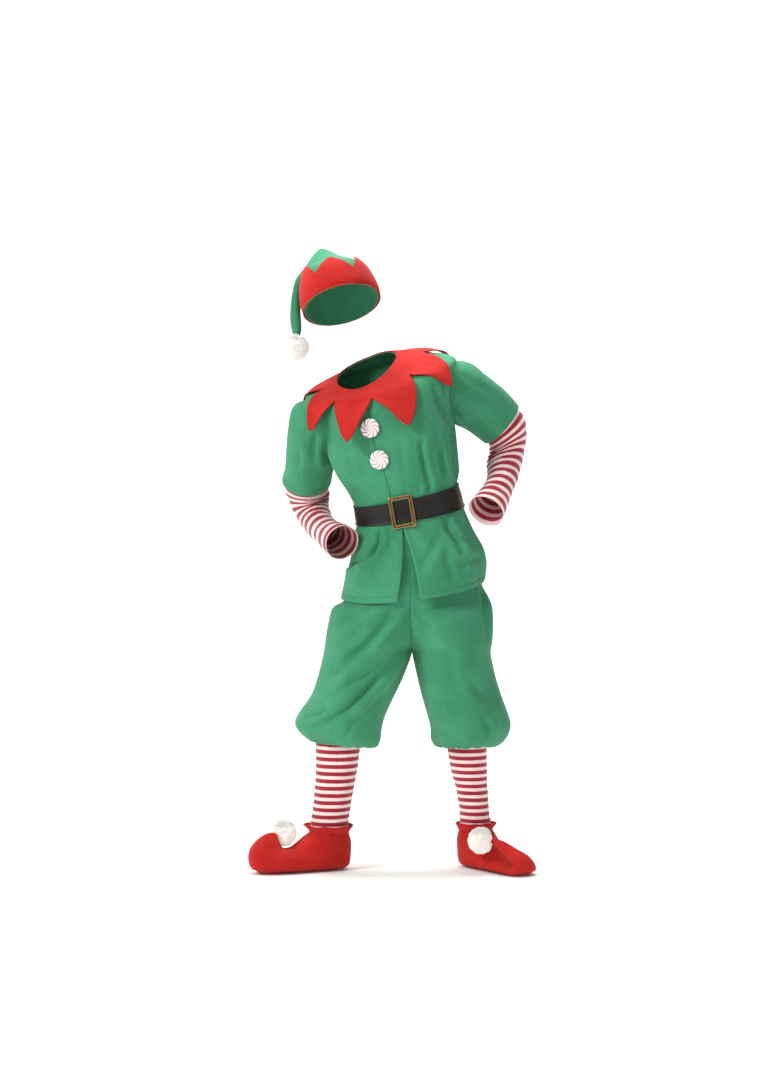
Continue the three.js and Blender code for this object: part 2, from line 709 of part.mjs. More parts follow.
// Buttons and buckle stand on the tunic along its outward direction, upright across its rings.
function placed(surface, turn, level, lift) {
  const n = outward(surface, turn, level);
  const { pitch, roll } = ringAt(tunicRings, level);
  const up = new THREE.Vector3(0, 0, 1);
  up.applyAxisAngle(new THREE.Vector3(1, 0, 0), pitch * rad);
  up.applyAxisAngle(new THREE.Vector3(0, 1, 0), -roll * rad);
  const x = up.clone().cross(n).normalize();
  const y = n.clone().cross(x).normalize();
  const at = surface.point(turn, level).addScaledVector(n, lift);
  return new THREE.Matrix4().makeBasis(x, y, n).setPosition(at);
}

const buttonProfile = [
  [0, 0], [buttons.across / 2 - buttons.rim, 0], [buttons.across / 2, buttons.rim],
  [buttons.across / 2, buttons.thick - buttons.rim], [buttons.across / 2 - buttons.rim, buttons.thick - 0.4],
  [0, buttons.thick],
];
for (const { name, turn, ring } of buttonPlaces) {
  const points = [new THREE.Vector3(0, 0, 0)];
  const faces = [];
  const count = buttons.turns;
  for (const [r, h] of buttonProfile.slice(1, -1)) {
    for (let i = 0; i < count; i += 1) {
      const a = (2 * Math.PI * i) / count;
      points.push(new THREE.Vector3(r * Math.cos(a), r * Math.sin(a), h));
    }
  }
  points.push(new THREE.Vector3(0, 0, buttons.thick));
  const rings = buttonProfile.length - 2;
  for (let i = 0; i < count; i += 1) {
    const k = (i + 1) % count;
    faces.push([0, 1 + k, 1 + i]);
    for (let j = 0; j < rings - 1; j += 1) {
      const [a, b, c, d] = [j * count + i + 1, j * count + k + 1, (j + 1) * count + k + 1, (j + 1) * count + i + 1];
      faces.push([a, b, c], [a, c, d]);
    }
    const top = (rings - 1) * count + 1;
    faces.push([top + i, top + k, points.length - 1]);
  }
  points.forEach((p) => p.applyMatrix4(placed(tunic, turn, ring, layerGap)));
  add(name, facing(points, faces), colours.mint);
}

// Belt.
add("belt_strap", wall(tunic, {
  from: () => 0, to: () => 360, columns: 40, levels: placesBetween(belt.low, belt.high, 2),
  thick: strapThick, lift: layerGap, closed: true,
}), colours.black);

const frame = placed(tunic, buckle.turn, buckle.ring, buckle.lift);
const corners = [[-1, -1], [1, -1], [1, 1], [-1, 1]];
const frameRows = [[0, 0], [buckle.bar, 0], [buckle.bar, buckle.thick], [0, buckle.thick]].map(([inset, height]) =>
  corners.flatMap(([sx, sy], i) => {
    const [nx, ny] = corners[(i + 1) % corners.length];
    return placesBetween(0, 1, buckle.steps).slice(0, -1).map((f) => {
      const half = [buckle.wide / 2 - inset, buckle.tall / 2 - inset];
      return new THREE.Vector3(
        (sx + (nx - sx) * f) * half[0], (sy + (ny - sy) * f) * half[1], height).applyMatrix4(frame);
    });
  }));
const framePoints = frameRows.flat();
const frameCount = frameRows[0].length;
const frameFaces = [];
for (let j = 0; j < frameRows.length; j += 1) {
  const m = (j + 1) % frameRows.length;
  for (let i = 0; i < frameCount; i += 1) {
    const k = (i + 1) % frameCount;
    const [a, b, c, d] = [j * frameCount + i, j * frameCount + k, m * frameCount + k, m * frameCount + i];
    frameFaces.push([a, b, c], [a, c, d]);
  }
}
add("belt_buckle", facing(framePoints, frameFaces), colours.brass, 0.85);

// Breeches.
const legLevels = placesBetween(0, legRightRows.length - 1, legRightRows.length - 1);
const legPanels = [
  ["pants_front_right", legRightRows, legRightFolds, 1],
  ["pants_front_left", legLeftRows, legLeftFolds, 1],
  ["pants_back_right", legRightRows, [], -1],
  ["pants_back_left", legLeftRows, [], -1],
];
for (const [name, rows, folds, side] of legPanels) {
  const surface = { ...legSurface(rows, folds, side), step: 0.01 };
  add(name, wall(surface, {
    from: pulled(surface, () => 0, 1), to: pulled(surface, () => 1, -1),
    columns: 10, levels: legLevels, thick: clothThick,
  }), colours.green);
}

for (const [name, rings] of [["stocking_right", stockingRightRings], ["stocking_left", stockingLeftRings]]) {
  add(name, tube(ringSurface(rings), 16, sleeveLevels(rings), clothThick), colours.stripe);
}

// Boot covers.
function bootWall(surface, columns, levels, thick) {
  const row = (level, depth) =>
    placesBetween(0, 360, columns).slice(0, -1).map((turn) => {
      const p = surface.point(turn, level);
      return depth ? p.addScaledVector(outward(surface, turn, level), -depth) : p;
    });
  const outer = levels.map((level) => row(level, 0));
  const inner = levels.slice(0, -1).map((level) => row(level, thick));
  const points = [...outer.flat(), ...inner.flat()];
  const faces = [];
  const strip = (start, count, flip) => {
    for (let j = 0; j < count - 1; j += 1) {
      for (let i = 0; i < columns; i += 1) {
        const k = (i + 1) % columns;
        const [a, b] = [start + j * columns + i, start + j * columns + k];
        const [c, d] = [b + columns, a + columns];
        faces.push(...(flip ? [[c, b, a], [d, c, a]] : [[a, b, c], [a, c, d]]));
      }
    }
  };
  strip(0, outer.length, false);
  const start = outer.length * columns;
  strip(start, inner.length, true);
  const tip = new THREE.Vector3();
  outer.at(-1).forEach((p) => tip.add(p));
  points.push(tip.divideScalar(columns));
  const hole = new THREE.Vector3();
  inner.at(-1).forEach((p) => hole.add(p));
  points.push(hole.divideScalar(columns));
  const [lastOuter, lastInner] = [(outer.length - 1) * columns, start + (inner.length - 1) * columns];
  for (let i = 0; i < columns; i += 1) {
    const k = (i + 1) % columns;
    faces.push([lastOuter + i, lastOuter + k, points.length - 2]);
    faces.push([lastInner + k, lastInner + i, points.length - 1]);
    faces.push([k, i, start + i], [k, start + i, start + k]);
  }
  return facing(points, faces);
}

function slab(low, high) {
  const size = 2000;
  return wasm.Manifold.cube([size, size, high - low]).translate([-size / 2, -size / 2, low]);
}

const bootForms = [];
for (const [side, boot] of [["right", bootRight], ["left", bootLeft]]) {
  const surface = sectionSurface(boot);
  const levels = placesBetween(0, boot.sections.length - 1, boot.sections.length - 1);
  const whole = toSolid(bootWall(surface, 12, levels, clothThick));
  bootForms.push(toSolid(filled(surface, 12, levels, seamGap)));
  const sole = whole.intersect(slab(-1, bootSeamHeight - seamGap / 2));
  const upper = whole.intersect(slab(bootSeamHeight + seamGap / 2, frameHeight));
  const facingSide = [surface.aside.x, surface.aside.y, 0];
  const place = surface.aside.x * boot.x + surface.aside.y * boot.y;
  const outerHalf = upper.trimByPlane(facingSide, place + seamGap / 2);
  const innerHalf = upper.trimByPlane(facingSide.map((v) => -v), -place + seamGap / 2);
  const [first, second] = side === "left" ? ["outer", "inner"] : ["inner", "outer"];
  add(`shoe_${side}_sole`, fromSolid(largestOf(sole)), colours.red);
  add(`shoe_${side}_${first}`, fromSolid(largestOf(outerHalf)), colours.red);
  add(`shoe_${side}_${second}`, fromSolid(largestOf(innerHalf)), colours.red);
}

// Hat.
const hat = hatSurface(hatRings);
const hatLevels = placesBetween(0, hatRings.length - 1, hatRings.length - 1);
const hatColumns = 24;
add("hat_crown", tube(hat, hatColumns, hatLevels, clothThick), colours.green);
const cuffTop = (turn) => {
  const part = ((((turn + hatCuff.turn) * hatCuff.peaks) / 360) % 1 + 1) % 1;
  return hatCuff.valley + (hatCuff.peak - hatCuff.valley) * Math.abs(2 * part - 1);
};
const cuffRows = placesBetween(0, 1, 4).map((f) =>
  placesBetween(0, 360, hatCuff.peaks * hatCuff.columnsEach).slice(0, -1).map((turn) => {
    const place = hatCuff.low + (cuffTop(turn) - hatCuff.low) * f;
    return { p: hat.point(turn, place), n: outward(hat, turn, place) };
  }));
add("hat_cuff", joinGrids(
  cuffRows.map((row) => row.map(({ p, n }) => p.clone().addScaledVector(n, cuffLift + feltThick))),
  cuffRows.map((row) => row.map(({ p, n }) => p.clone().addScaledVector(n, cuffLift))),
  true,
), colours.red);

// Pompoms: three-sided locks rising from a small fused core.
for (const { name, x, y, z } of pompomPlaces) {
  const core = new THREE.IcosahedronGeometry((pompom.across / 2) * pompom.core, 1).attributes.position;
  const points = [];
  const faces = [];
  const seen = new Map();
  const corner = (i) => {
    const p = new THREE.Vector3().fromBufferAttribute(core, i);
    const key = p.toArray().map((v) => v.toFixed(3)).join();
    if (!seen.has(key)) {
      seen.set(key, points.push(p) - 1);
    }
    return seen.get(key);
  };
  for (let i = 0; i < core.count; i += 3) {
    const [a, b, c] = [corner(i), corner(i + 1), corner(i + 2)];
    const tip = points[a].clone().add(points[b]).add(points[c]);
    const length = (pompom.across / 2) * (pompom.lock + (1 - pompom.lock) * Math.sin(i * 1.7) ** 2);
    const t = points.push(tip.setLength(length)) - 1;
    faces.push([a, b, t], [b, c, t], [c, a, t]);
  }
  points.forEach((p) => p.add(new THREE.Vector3(x, y, z)));
  let ball = toSolid(facing(points, faces));
  bootForms.forEach((form) => {
    ball = ball.subtract(form);
  });
  add(name, fromSolid(largestOf(ball)), colours.white);
}

export default root;
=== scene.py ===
import math
import random

import bmesh
import bpy
from mathutils import Matrix, Vector, noise
from mathutils.bvhtree import BVHTree


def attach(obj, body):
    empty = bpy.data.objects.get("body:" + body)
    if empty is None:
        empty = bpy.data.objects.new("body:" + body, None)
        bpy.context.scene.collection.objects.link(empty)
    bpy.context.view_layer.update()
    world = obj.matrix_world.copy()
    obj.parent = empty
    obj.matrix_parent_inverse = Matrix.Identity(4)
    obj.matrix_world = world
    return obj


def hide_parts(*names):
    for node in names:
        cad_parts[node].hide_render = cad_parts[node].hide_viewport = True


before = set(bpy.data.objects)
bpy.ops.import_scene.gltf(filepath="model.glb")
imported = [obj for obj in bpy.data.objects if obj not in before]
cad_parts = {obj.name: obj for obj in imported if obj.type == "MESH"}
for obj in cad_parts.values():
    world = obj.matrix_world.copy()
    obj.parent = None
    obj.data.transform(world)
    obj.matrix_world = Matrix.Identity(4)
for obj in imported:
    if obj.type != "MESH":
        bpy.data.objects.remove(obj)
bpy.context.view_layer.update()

# Shapes are worked out in millimetres above the floor, then moved to the frame's own origin at the neck.
neckSpot = Vector((-50, 0, 1052))
frontSide, backSide = 1, -1


def toFrame(p):
    return (p - neckSpot) * 0.001


def bump(x):
    return (1 - x * x) ** 2 if abs(x) < 1 else 0.0


def blend(rows, place, i):  # a smooth curve through one column of a table
    last = len(rows) - 1
    k = min(max(math.floor(place), 0), last - 1)
    f = place - k
    a, b, c, d = (rows[min(max(j, 0), last)][i] for j in (k - 1, k, k + 1, k + 2))
    return b + 0.5 * f * (c - a + f * (2 * a - 5 * b + 4 * c - d + f * (3 * (b - c) + d - a)))


def signedPower(value, power):
    return math.copysign(abs(value) ** power, value)


def clamp(value):  # held between nothing and all
    return min(max(value, 0.0), 1.0)


def around(turn, at):  # degrees from one turn to another, the short way
    return (turn - at + 180) % 360 - 180


def fullRows(rows, count):  # columns left off a table are zero
    return [tuple(row) + (0,) * (count - len(row)) for row in rows]


# --- forms: each gives a point from a place across and a place along ---

def turnedBy(roll, pitch):
    return Matrix.Rotation(math.radians(-roll), 3, "Y") @ Matrix.Rotation(math.radians(pitch), 3, "X")


def ringForm(rows, folds=()):
    # columns: x, y, z, half width, half depth, roll, pitch, yaw, squareness, front dip, back dip, spin
    rows = fullRows(rows, 12)
    known = {}

    def ringAt(place):
        key = round(place, 4)
        if key not in known:
            v = [blend(rows, place, i) for i in range(12)]
            turned = turnedBy(v[5], v[6]) @ Matrix.Rotation(math.radians(v[7]), 3, "Z")
            known[key] = (Vector(v[:3]), v[3], v[4], 2 / v[8], v[9], v[10], v[11], turned)
        return known[key]

    def point(turn, place, extra=0.0):
        centre, wide, deep, power, dipFront, dipBack, spin, turned = ringAt(place)
        push = extra
        for turnLow, turnHigh, low, high, depth, half in folds:
            f = (place - low) / (high - low)
            if 0 < f < 1:
                off = around(turn, turnLow + (turnHigh - turnLow) * f)
                push += depth * bump(off / half) * bump(2 * f - 1)
        s = math.sin(math.radians(turn + spin))
        c = math.cos(math.radians(turn + spin))
        p = Vector((wide * signedPower(s, power), -deep * signedPower(c, power), 0))
        p *= (p.length + push) / p.length
        p = turned @ p
        p.z -= dipFront * ((1 + c) / 2) ** 2 + dipBack * ((1 - c) / 2) ** 5
        return p + centre

    point.centre = lambda place: ringAt(place)[0]
    point.last = len(rows) - 1
    return point


def legForm(rows, folds, side):
    # columns: z, y, outer edge, inner edge, half depth, opening angle, slope
    def point(across, place):
        z, y, outer, inner, deep, opened, slope = (blend(rows, place, i) for i in range(7))
        reach = (outer - inner) / (1 + math.sin(math.radians(min(opened, 90))))
        middle = outer - reach
        x = outer + (inner - outer) * (1 - math.cos(math.pi * across)) / 2
        sine = min(max((x - middle) / reach, -1), 1)
        push = 0
        for acrossHigh, acrossLow, high, low, depth, half in folds:
            f = (place - high) / (low - high)
            if 0 < f < 1:
                centre = acrossHigh + (acrossLow - acrossHigh) * f
                push += depth * bump((across - centre) / half) * bump(2 * f - 1)
        return Vector((x, y - side * (deep - push) * math.sqrt(1 - sine * sine), z + slope * (x - inner)))

    def centre(place):
        z, y, outer, inner, deep, opened, slope = (blend(rows, place, i) for i in range(7))
        middle = outer - (outer - inner) / (1 + math.sin(math.radians(min(opened, 90))))
        return Vector((middle, y, z + slope * (middle - inner)))

    point.centre = centre
    point.last = len(rows) - 1
    return point


def bootForm(boot):
    # columns: top along, top z, low along, low z, half width, shift aside
    heading = math.radians(boot["heading"])
    along = Vector((math.sin(heading), -math.cos(heading), 0))
    aside = Vector((math.cos(heading), math.sin(heading), 0))
    rows = fullRows(boot["sections"], 6)

    def ends(place):
        v = [blend(rows, place, i) for i in range(6)]
        spot = Vector((boot["x"], boot["y"], 0)) + aside * v[5]
        return spot + along * v[0] + Vector((0, 0, v[1])), spot + along * v[2] + Vector((0, 0, v[3])), v[4]

    def point(turn, place):
        top, low, half = ends(place)
        s, c = math.sin(math.radians(turn)), math.cos(math.radians(turn))
        p = (top + low) / 2 + (top - low) / 2 * signedPower(c, 2 / 2.3) + aside * half * signedPower(s, 2 / 2.3)
        p.z = max(p.z, 0.3)
        return p

    def centre(place):
        top, low, half = ends(place)
        p = (top + low) / 2
        p.z = max(p.z, 4)
        return p

    point.centre = centre
    point.last = len(rows) - 1
    return point


def hatForm(rows):
    # columns: low x, low z, high x, high z, y, half depth, pitch
    known = {}

    def ringAt(place):
        key = round(place, 4)
        if key not in known:
            lowX, lowZ, highX, highZ, y, deep, pitch = (blend(rows, place, i) for i in range(7))
            dx, dz = highX - lowX, highZ - lowZ
            turned = Matrix.Rotation(-math.atan2(dz, dx), 3, "Y") @ Matrix.Rotation(math.radians(pitch), 3, "X")
            middle = Vector(((lowX + highX) / 2, y, (lowZ + highZ) / 2))
            known[key] = (middle, math.hypot(dx, dz) / 2, deep, turned)
        return known[key]

    def point(turn, place):
        middle, wide, deep, turned = ringAt(place)
        s, c = math.sin(math.radians(turn)), math.cos(math.radians(turn))
        return turned @ Vector((wide * s, -deep * c, 0)) + middle

    point.centre = lambda place: ringAt(place)[0]
    point.last = len(rows) - 1
    return point


# --- cloth: a grid laid on a form, creased along listed lines, then given its thickness ---

def spots(low, high, count, fineLow=0.0, fineHigh=0.0, fine=0):
    # evenly spread values, with extra ones inside the bands fineLow and fineHigh at the ends
    values = {low + (high - low) * i / count for i in range(count + 1)}
    for start, band in ((low, fineLow), (high, -fineHigh)):
        if band:
            values |= {start + band * i / fine for i in range(fine + 1)}
    ordered = sorted(values)
    step = abs(high - low) / count * 0.12
    kept = [ordered[0]]
    for value in ordered[1:-1]:
        if value - kept[-1] > step and ordered[-1] - value > step:
            kept.append(value)
    return kept + [ordered[-1]]


def crease(points, depth, half, ridge=0.5, side=frontSide):
    # a soft trough along a line of (x, z), with a ridge on the line's left hand; ends fade out
    lengths = [math.dist(a, b) for a, b in zip(points, points[1:])]
    xs, zs = [p[0] for p in points], [p[1] for p in points]
    reach = half * 2.4
    return {
        "points": points, "lengths": lengths, "whole": sum(lengths), "depth": depth, "half": half, "ridge": ridge,
        "side": side, "box": (min(xs) - reach, max(xs) + reach, min(zs) - reach, max(zs) + reach),
    }


def creasePush(creases, x, z, side):
    total = 0.0
    for c in creases:
        x0, x1, z0, z1 = c["box"]
        if c["side"] != side or not (x0 < x < x1 and z0 < z < z1):
            continue
        nearest, share, hand, done = 1e9, 0.0, 1, 0.0
        for (ax, az), (bx, bz), length in zip(c["points"], c["points"][1:], c["lengths"]):
            f = ((x - ax) * (bx - ax) + (z - az) * (bz - az)) / length ** 2
            g = clamp(f)
            d = math.hypot(x - ax - (bx - ax) * g, z - az - (bz - az) * g)
            if d < nearest:
                nearest, share = d, (done + g * length) / c["whole"]
                hand = 1 if (bx - ax) * (z - az) - (bz - az) * (x - ax) > 0 else -1
            done += length
        q = hand * nearest / c["half"]
        fade = math.sin(math.pi * share) ** 0.7 if 0 < share < 1 else 0.0
        total += c["depth"] * fade * (-bump(q) + c["ridge"] * bump((q - 1.15) / 1.2))
    return total


def ripple(p, rows, seed=0):  # unevenness of hanging cloth; rows: how wide, how tall, how much, own seed
    return sum(
        size * noise.noise(Vector((p.x / wide + (seed + own), p.y / wide, p.z / tall)))
        for wide, tall, size, own in rows
    )


def hemPush(gone, band, rise):  # a turned hem stands proud, with a groove along its stitches
    return rise * clamp((band + 0.8 - gone) / 1.6) - 0.5 * bump((gone - band) / 2.2)


def rollPush(rolls, turn, place, bend, twist, ridge, spin=0):
    # slack knit: each roll is a dip with a ridge above; rolls: place, middle turn, reach round, depth, half width
    push = 0.0
    for at, middle, reach, depth, half in rolls:
        off = place - at - bend * math.sin(math.radians(turn * 2 + at * twist))
        near = depth * bump(around(turn + spin, middle) / reach)
        push += near * (ridge * bump((off - half * 1.3) / half) - bump(off / half))
    return push


def layCloth(form, acrossSpots, alongSpots, width, detail=None, closed=False, slant=1.0):
    # width is the cloth's own, for its weave; detail gives a push in millimetres
    columns, rows = len(acrossSpots) - 1, len(alongSpots) - 1
    cloth = bmesh.new()
    bmesh.ops.create_grid(cloth, x_segments=columns, y_segments=rows, size=0.5)
    uvMap = cloth.loops.layers.uv.new("cloth")
    run = [0.0]
    for a, b in zip(alongSpots, alongSpots[1:]):
        step = form.centre(b) - form.centre(a)
        run.append(run[-1] + math.hypot(step.x, step.y * slant, step.z))
    spread = acrossSpots[-1] - acrossSpots[0]
    places = {}
    for v in cloth.verts:
        i, j = round((v.co.x + 0.5) * columns), round((v.co.y + 0.5) * rows)
        places[v.index] = (acrossSpots[i], alongSpots[j])
        v.co.z = 0
    for face in cloth.faces:
        for loop in face.loops:
            a, b = places[loop.vert.index]
            j = round((loop.vert.co.y + 0.5) * rows)
            loop[uvMap].uv = ((a - acrossSpots[0]) / spread * width * 0.001, run[j] * 0.001)
    for v in cloth.verts:
        v.co = form(*places[v.index])
    cloth.normal_update()
    total = sum(
        f.normal.dot(f.calc_center_median() - form.centre(places[f.verts[0].index][1])) * f.calc_area()
        for f in cloth.faces
    )
    if total < 0:
        bmesh.ops.reverse_faces(cloth, faces=cloth.faces[:])
        cloth.normal_update()
    if closed:  # the two edges share one normal, so the tube stays shut
        firsts = {round(places[v.index][1], 5): v for v in cloth.verts if places[v.index][0] == acrossSpots[0]}
        for v in cloth.verts:
            if places[v.index][0] == acrossSpots[-1]:
                twin = firsts[round(places[v.index][1], 5)]
                twin.normal = (twin.normal + v.normal).normalized()
                v.normal = twin.normal
    if detail:
        moves = [(v, v.normal * detail(v.co, *places[v.index])) for v in cloth.verts]
        for v, move in moves:
            v.co += move
    if closed:
        bmesh.ops.remove_doubles(cloth, verts=cloth.verts[:], dist=0.01)
    return cloth


def toPiece(name, shape, material, nodes=(), thick=0.0, offset=-1.0, soft=True):
    # from millimetres to a finished object in the frame
    for v in shape.verts:
        v.co = toFrame(v.co)
    mesh = bpy.data.meshes.new(name)
    shape.to_mesh(mesh)
    shape.free()
    for polygon in mesh.polygons:
        polygon.use_smooth = soft
    piece = bpy.data.objects.new(name, mesh)
    bpy.context.scene.collection.objects.link(piece)
    mesh.materials.append(material)
    if thick:
        wall = piece.modifiers.new("thickness", "SOLIDIFY")
        wall.thickness = thick * 0.001
        wall.offset = offset
        wall.use_even_offset = False
    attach(piece, "root")
    if nodes:
        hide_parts(*nodes)
    return piece


def surfaceOf(*shapes):  # for finding the cloth under a point, in millimetres
    joined = bmesh.new()
    for shape in shapes:
        mesh = bpy.data.meshes.new("probe")
        shape.to_mesh(mesh)
        joined.from_mesh(mesh)
        bpy.data.meshes.remove(mesh)
    joined.normal_update()
    tree = BVHTree.FromBMesh(joined)
    joined.free()
    return tree


def isInside(tree, p):  # an odd count of walls on the way out
    way = Vector((0.31, 0.2, 0.93)).normalized()
    spot, walls = tree.ray_cast(p, way)[0], 0
    while spot is not None:
        walls += 1
        spot = tree.ray_cast(spot + way * 0.01, way)[0]
    return walls % 2 == 1


def dropInside(shape, tree, deeper):  # takes away the cloth that lies hidden inside another form
    gone = []
    for face in shape.faces:
        middle = face.calc_center_median()
        if tree.find_nearest(middle)[3] > deeper and isInside(tree, middle):
            gone.append(face)
    bmesh.ops.delete(shape, geom=gone, context="FACES")


def stitches(name, lines, material, length=2.3, step=3.3, thick=0.5, sink=0.1):
    # lines are lists of (point, outward direction) in millimetres
    sewn = bmesh.new()
    for line in lines:
        left = step / 2
        for (a, na), (b, nb) in zip(line, line[1:]):
            span = (b - a).length
            while left < span:
                f = left / span
                way, out = (b - a).normalized(), na.lerp(nb, f).normalized()
                side = way.cross(out).normalized()
                out = side.cross(way).normalized()
                turned = Matrix((way * length, side * thick, out * thick)).transposed().to_4x4()
                turned.translation = a.lerp(b, f) + out * (thick / 2 - sink)
                bmesh.ops.create_cube(sewn, size=1, matrix=turned)
                left += step
            left -= span
    return toPiece(name, sewn, material, soft=False)


def onSurface(tree, points):
    return [tree.find_nearest(p)[:2] for p in points]


# --- materials ---

def srgb(r, g, b):
    return tuple(((v / 255 + 0.055) / 1.055) ** 2.4 if v > 10 else v / 255 / 12.92 for v in (r, g, b)) + (1,)


def newMaterial(name, roughness=0.85, sheen=0.0, metallic=0.0, specular=0.3):
    material = bpy.data.materials.new(name)
    material.use_nodes = True
    nodes, links = material.node_tree.nodes, material.node_tree.links
    shader = nodes["Principled BSDF"]
    shader.inputs["Roughness"].default_value = roughness
    shader.inputs["Metallic"].default_value = metallic
    shader.inputs["Specular IOR Level"].default_value = specular
    shader.inputs["Sheen Weight"].default_value = sheen
    shader.inputs["Sheen Roughness"].default_value = 0.45
    return material, nodes, links, shader


def calc(nodes, links, kind, a, b=None, c=None):
    node = nodes.new("ShaderNodeMath")
    node.operation = kind
    for socket, value in zip(node.inputs, (a, b, c)):
        if value is None:
            continue
        if isinstance(value, (int, float)):
            socket.default_value = value
        else:
            links.new(value, socket)
    return node.outputs[0]


def noiseTone(nodes, links, vector, scale, detail=3.0, rough=0.6):
    node = nodes.new("ShaderNodeTexNoise")
    node.inputs["Scale"].default_value = scale
    node.inputs["Detail"].default_value = detail
    node.inputs["Roughness"].default_value = rough
    links.new(vector, node.inputs["Vector"])
    return node.outputs["Fac"]


def mixTone(nodes, links, factor, dark, light):
    node = nodes.new("ShaderNodeMix")
    node.data_type = "RGBA"
    links.new(factor, node.inputs[0])
    for socket, value in ((node.inputs[6], dark), (node.inputs[7], light)):
        if isinstance(value, tuple):
            socket.default_value = value
        else:
            links.new(value, socket)
    return node.outputs[2]


def addBump(nodes, links, shader, height, strength, distance):
    node = nodes.new("ShaderNodeBump")
    node.inputs["Strength"].default_value = strength
    node.inputs["Distance"].default_value = distance
    links.new(height, node.inputs["Height"])
    links.new(node.outputs[0], shader.inputs["Normal"])


def spread(nodes, links, value, low, high, newLow=0.0, newHigh=1.0):
    node = nodes.new("ShaderNodeMapRange")
    for i, v in enumerate((low, high, newLow, newHigh), 1):
        node.inputs[i].default_value = v
    links.new(value, node.inputs[0])
    return node.outputs[0]


def wovenCloth(name, dark, light, thread=0.0009, roughness=0.85, sheen=0.25):
    # plain weave from the piece's own UV map, in metres
    material, nodes, links, shader = newMaterial(name, roughness, sheen)
    where = nodes.new("ShaderNodeTexCoord")
    parts = nodes.new("ShaderNodeSeparateXYZ")
    links.new(where.outputs["UV"], parts.inputs[0])
    warp = calc(nodes, links, "SINE", calc(nodes, links, "MULTIPLY", parts.outputs[0], math.pi / thread))
    weft = calc(nodes, links, "SINE", calc(nodes, links, "MULTIPLY", parts.outputs[1], math.pi / thread))
    weave = calc(nodes, links, "MULTIPLY", warp, weft)
    cloudy = noiseTone(nodes, links, where.outputs["Object"], 9)
    slub = noiseTone(nodes, links, where.outputs["Object"], 420, 2)
    tone = calc(nodes, links, "ADD", calc(nodes, links, "MULTIPLY", cloudy, 0.55),
                calc(nodes, links, "MULTIPLY", slub, 0.45))
    tone = calc(nodes, links, "ADD", tone, calc(nodes, links, "MULTIPLY", weave, 0.08))
    links.new(mixTone(nodes, links, spread(nodes, links, tone, 0.3, 0.7), dark, light), shader.inputs["Base Color"])
    height = calc(nodes, links, "ADD", weave, calc(nodes, links, "MULTIPLY", slub, 1.4))
    addBump(nodes, links, shader, height, 0.35, 0.00035)
    return material


def feltCloth(name, dark, light, roughness=0.92, sheen=0.35):
    material, nodes, links, shader = newMaterial(name, roughness, sheen)
    where = nodes.new("ShaderNodeTexCoord")
    fibre = noiseTone(nodes, links, where.outputs["Object"], 700, 5, 0.7)
    mat = noiseTone(nodes, links, where.outputs["Object"], 130, 4, 0.65)
    cloudy = noiseTone(nodes, links, where.outputs["Object"], 12)
    tone = calc(nodes, links, "ADD", calc(nodes, links, "MULTIPLY", cloudy, 0.5),
                calc(nodes, links, "ADD", calc(nodes, links, "MULTIPLY", mat, 0.25),
                     calc(nodes, links, "MULTIPLY", fibre, 0.25)))
    links.new(mixTone(nodes, links, spread(nodes, links, tone, 0.32, 0.68), dark, light), shader.inputs["Base Color"])
    addBump(nodes, links, shader, calc(nodes, links, "ADD", fibre, mat), 0.5, 0.0006)
    return material


def stripedKnit(name, period, redShare, shift=0.0):
    # rings of colour from the length along the tube; ribs of the knit run with it
    material, nodes, links, shader = newMaterial(name, 0.82, 0.3)
    where = nodes.new("ShaderNodeTexCoord")
    parts = nodes.new("ShaderNodeSeparateXYZ")
    links.new(where.outputs["UV"], parts.inputs[0])
    wobble = noiseTone(nodes, links, where.outputs["Object"], 30)
    along = calc(nodes, links, "ADD", parts.outputs[1], calc(nodes, links, "MULTIPLY", wobble, 0.0016))
    part = calc(nodes, links, "FRACT", calc(nodes, links, "MULTIPLY_ADD", along, 1 / period, shift))
    away = calc(nodes, links, "ABSOLUTE", calc(nodes, links, "SUBTRACT", part, 0.5))
    white = spread(nodes, links, away, redShare / 2 - 0.02, redShare / 2 + 0.02)
    cloudy = noiseTone(nodes, links, where.outputs["Object"], 60, 3)
    red = mixTone(nodes, links, cloudy, srgb(128, 22, 36), srgb(186, 44, 62))
    pale = mixTone(nodes, links, cloudy, srgb(244, 196, 192), srgb(255, 244, 240))
    links.new(mixTone(nodes, links, white, red, pale), shader.inputs["Base Color"])
    rib = calc(nodes, links, "SINE", calc(nodes, links, "MULTIPLY", parts.outputs[0], 2 * math.pi / 0.0022))
    course = calc(nodes, links, "SINE", calc(nodes, links, "MULTIPLY", parts.outputs[1], 2 * math.pi / 0.0013))
    height = calc(nodes, links, "ADD", calc(nodes, links, "MULTIPLY", rib, 0.6),
                  calc(nodes, links, "MULTIPLY", course, 0.4))
    addBump(nodes, links, shader, height, 0.4, 0.0005)
    return material


def softLeather(name):
    material, nodes, links, shader = newMaterial(name, 0.42, 0.0, 0.0, 0.35)
    where = nodes.new("ShaderNodeTexCoord")
    cells = nodes.new("ShaderNodeTexVoronoi")
    cells.inputs["Scale"].default_value = 620
    links.new(where.outputs["Object"], cells.inputs["Vector"])
    cloudy = noiseTone(nodes, links, where.outputs["Object"], 34, 4)
    links.new(mixTone(nodes, links, cloudy, srgb(12, 10, 9), srgb(36, 32, 28)), shader.inputs["Base Color"])
    links.new(spread(nodes, links, cloudy, 0.3, 0.7, 0.34, 0.56), shader.inputs["Roughness"])
    height = calc(nodes, links, "ADD", cells.outputs["Distance"],
                  calc(nodes, links, "MULTIPLY", noiseTone(nodes, links, where.outputs["Object"], 90, 4), 2.0))
    addBump(nodes, links, shader, height, 0.45, 0.0006)
    return material


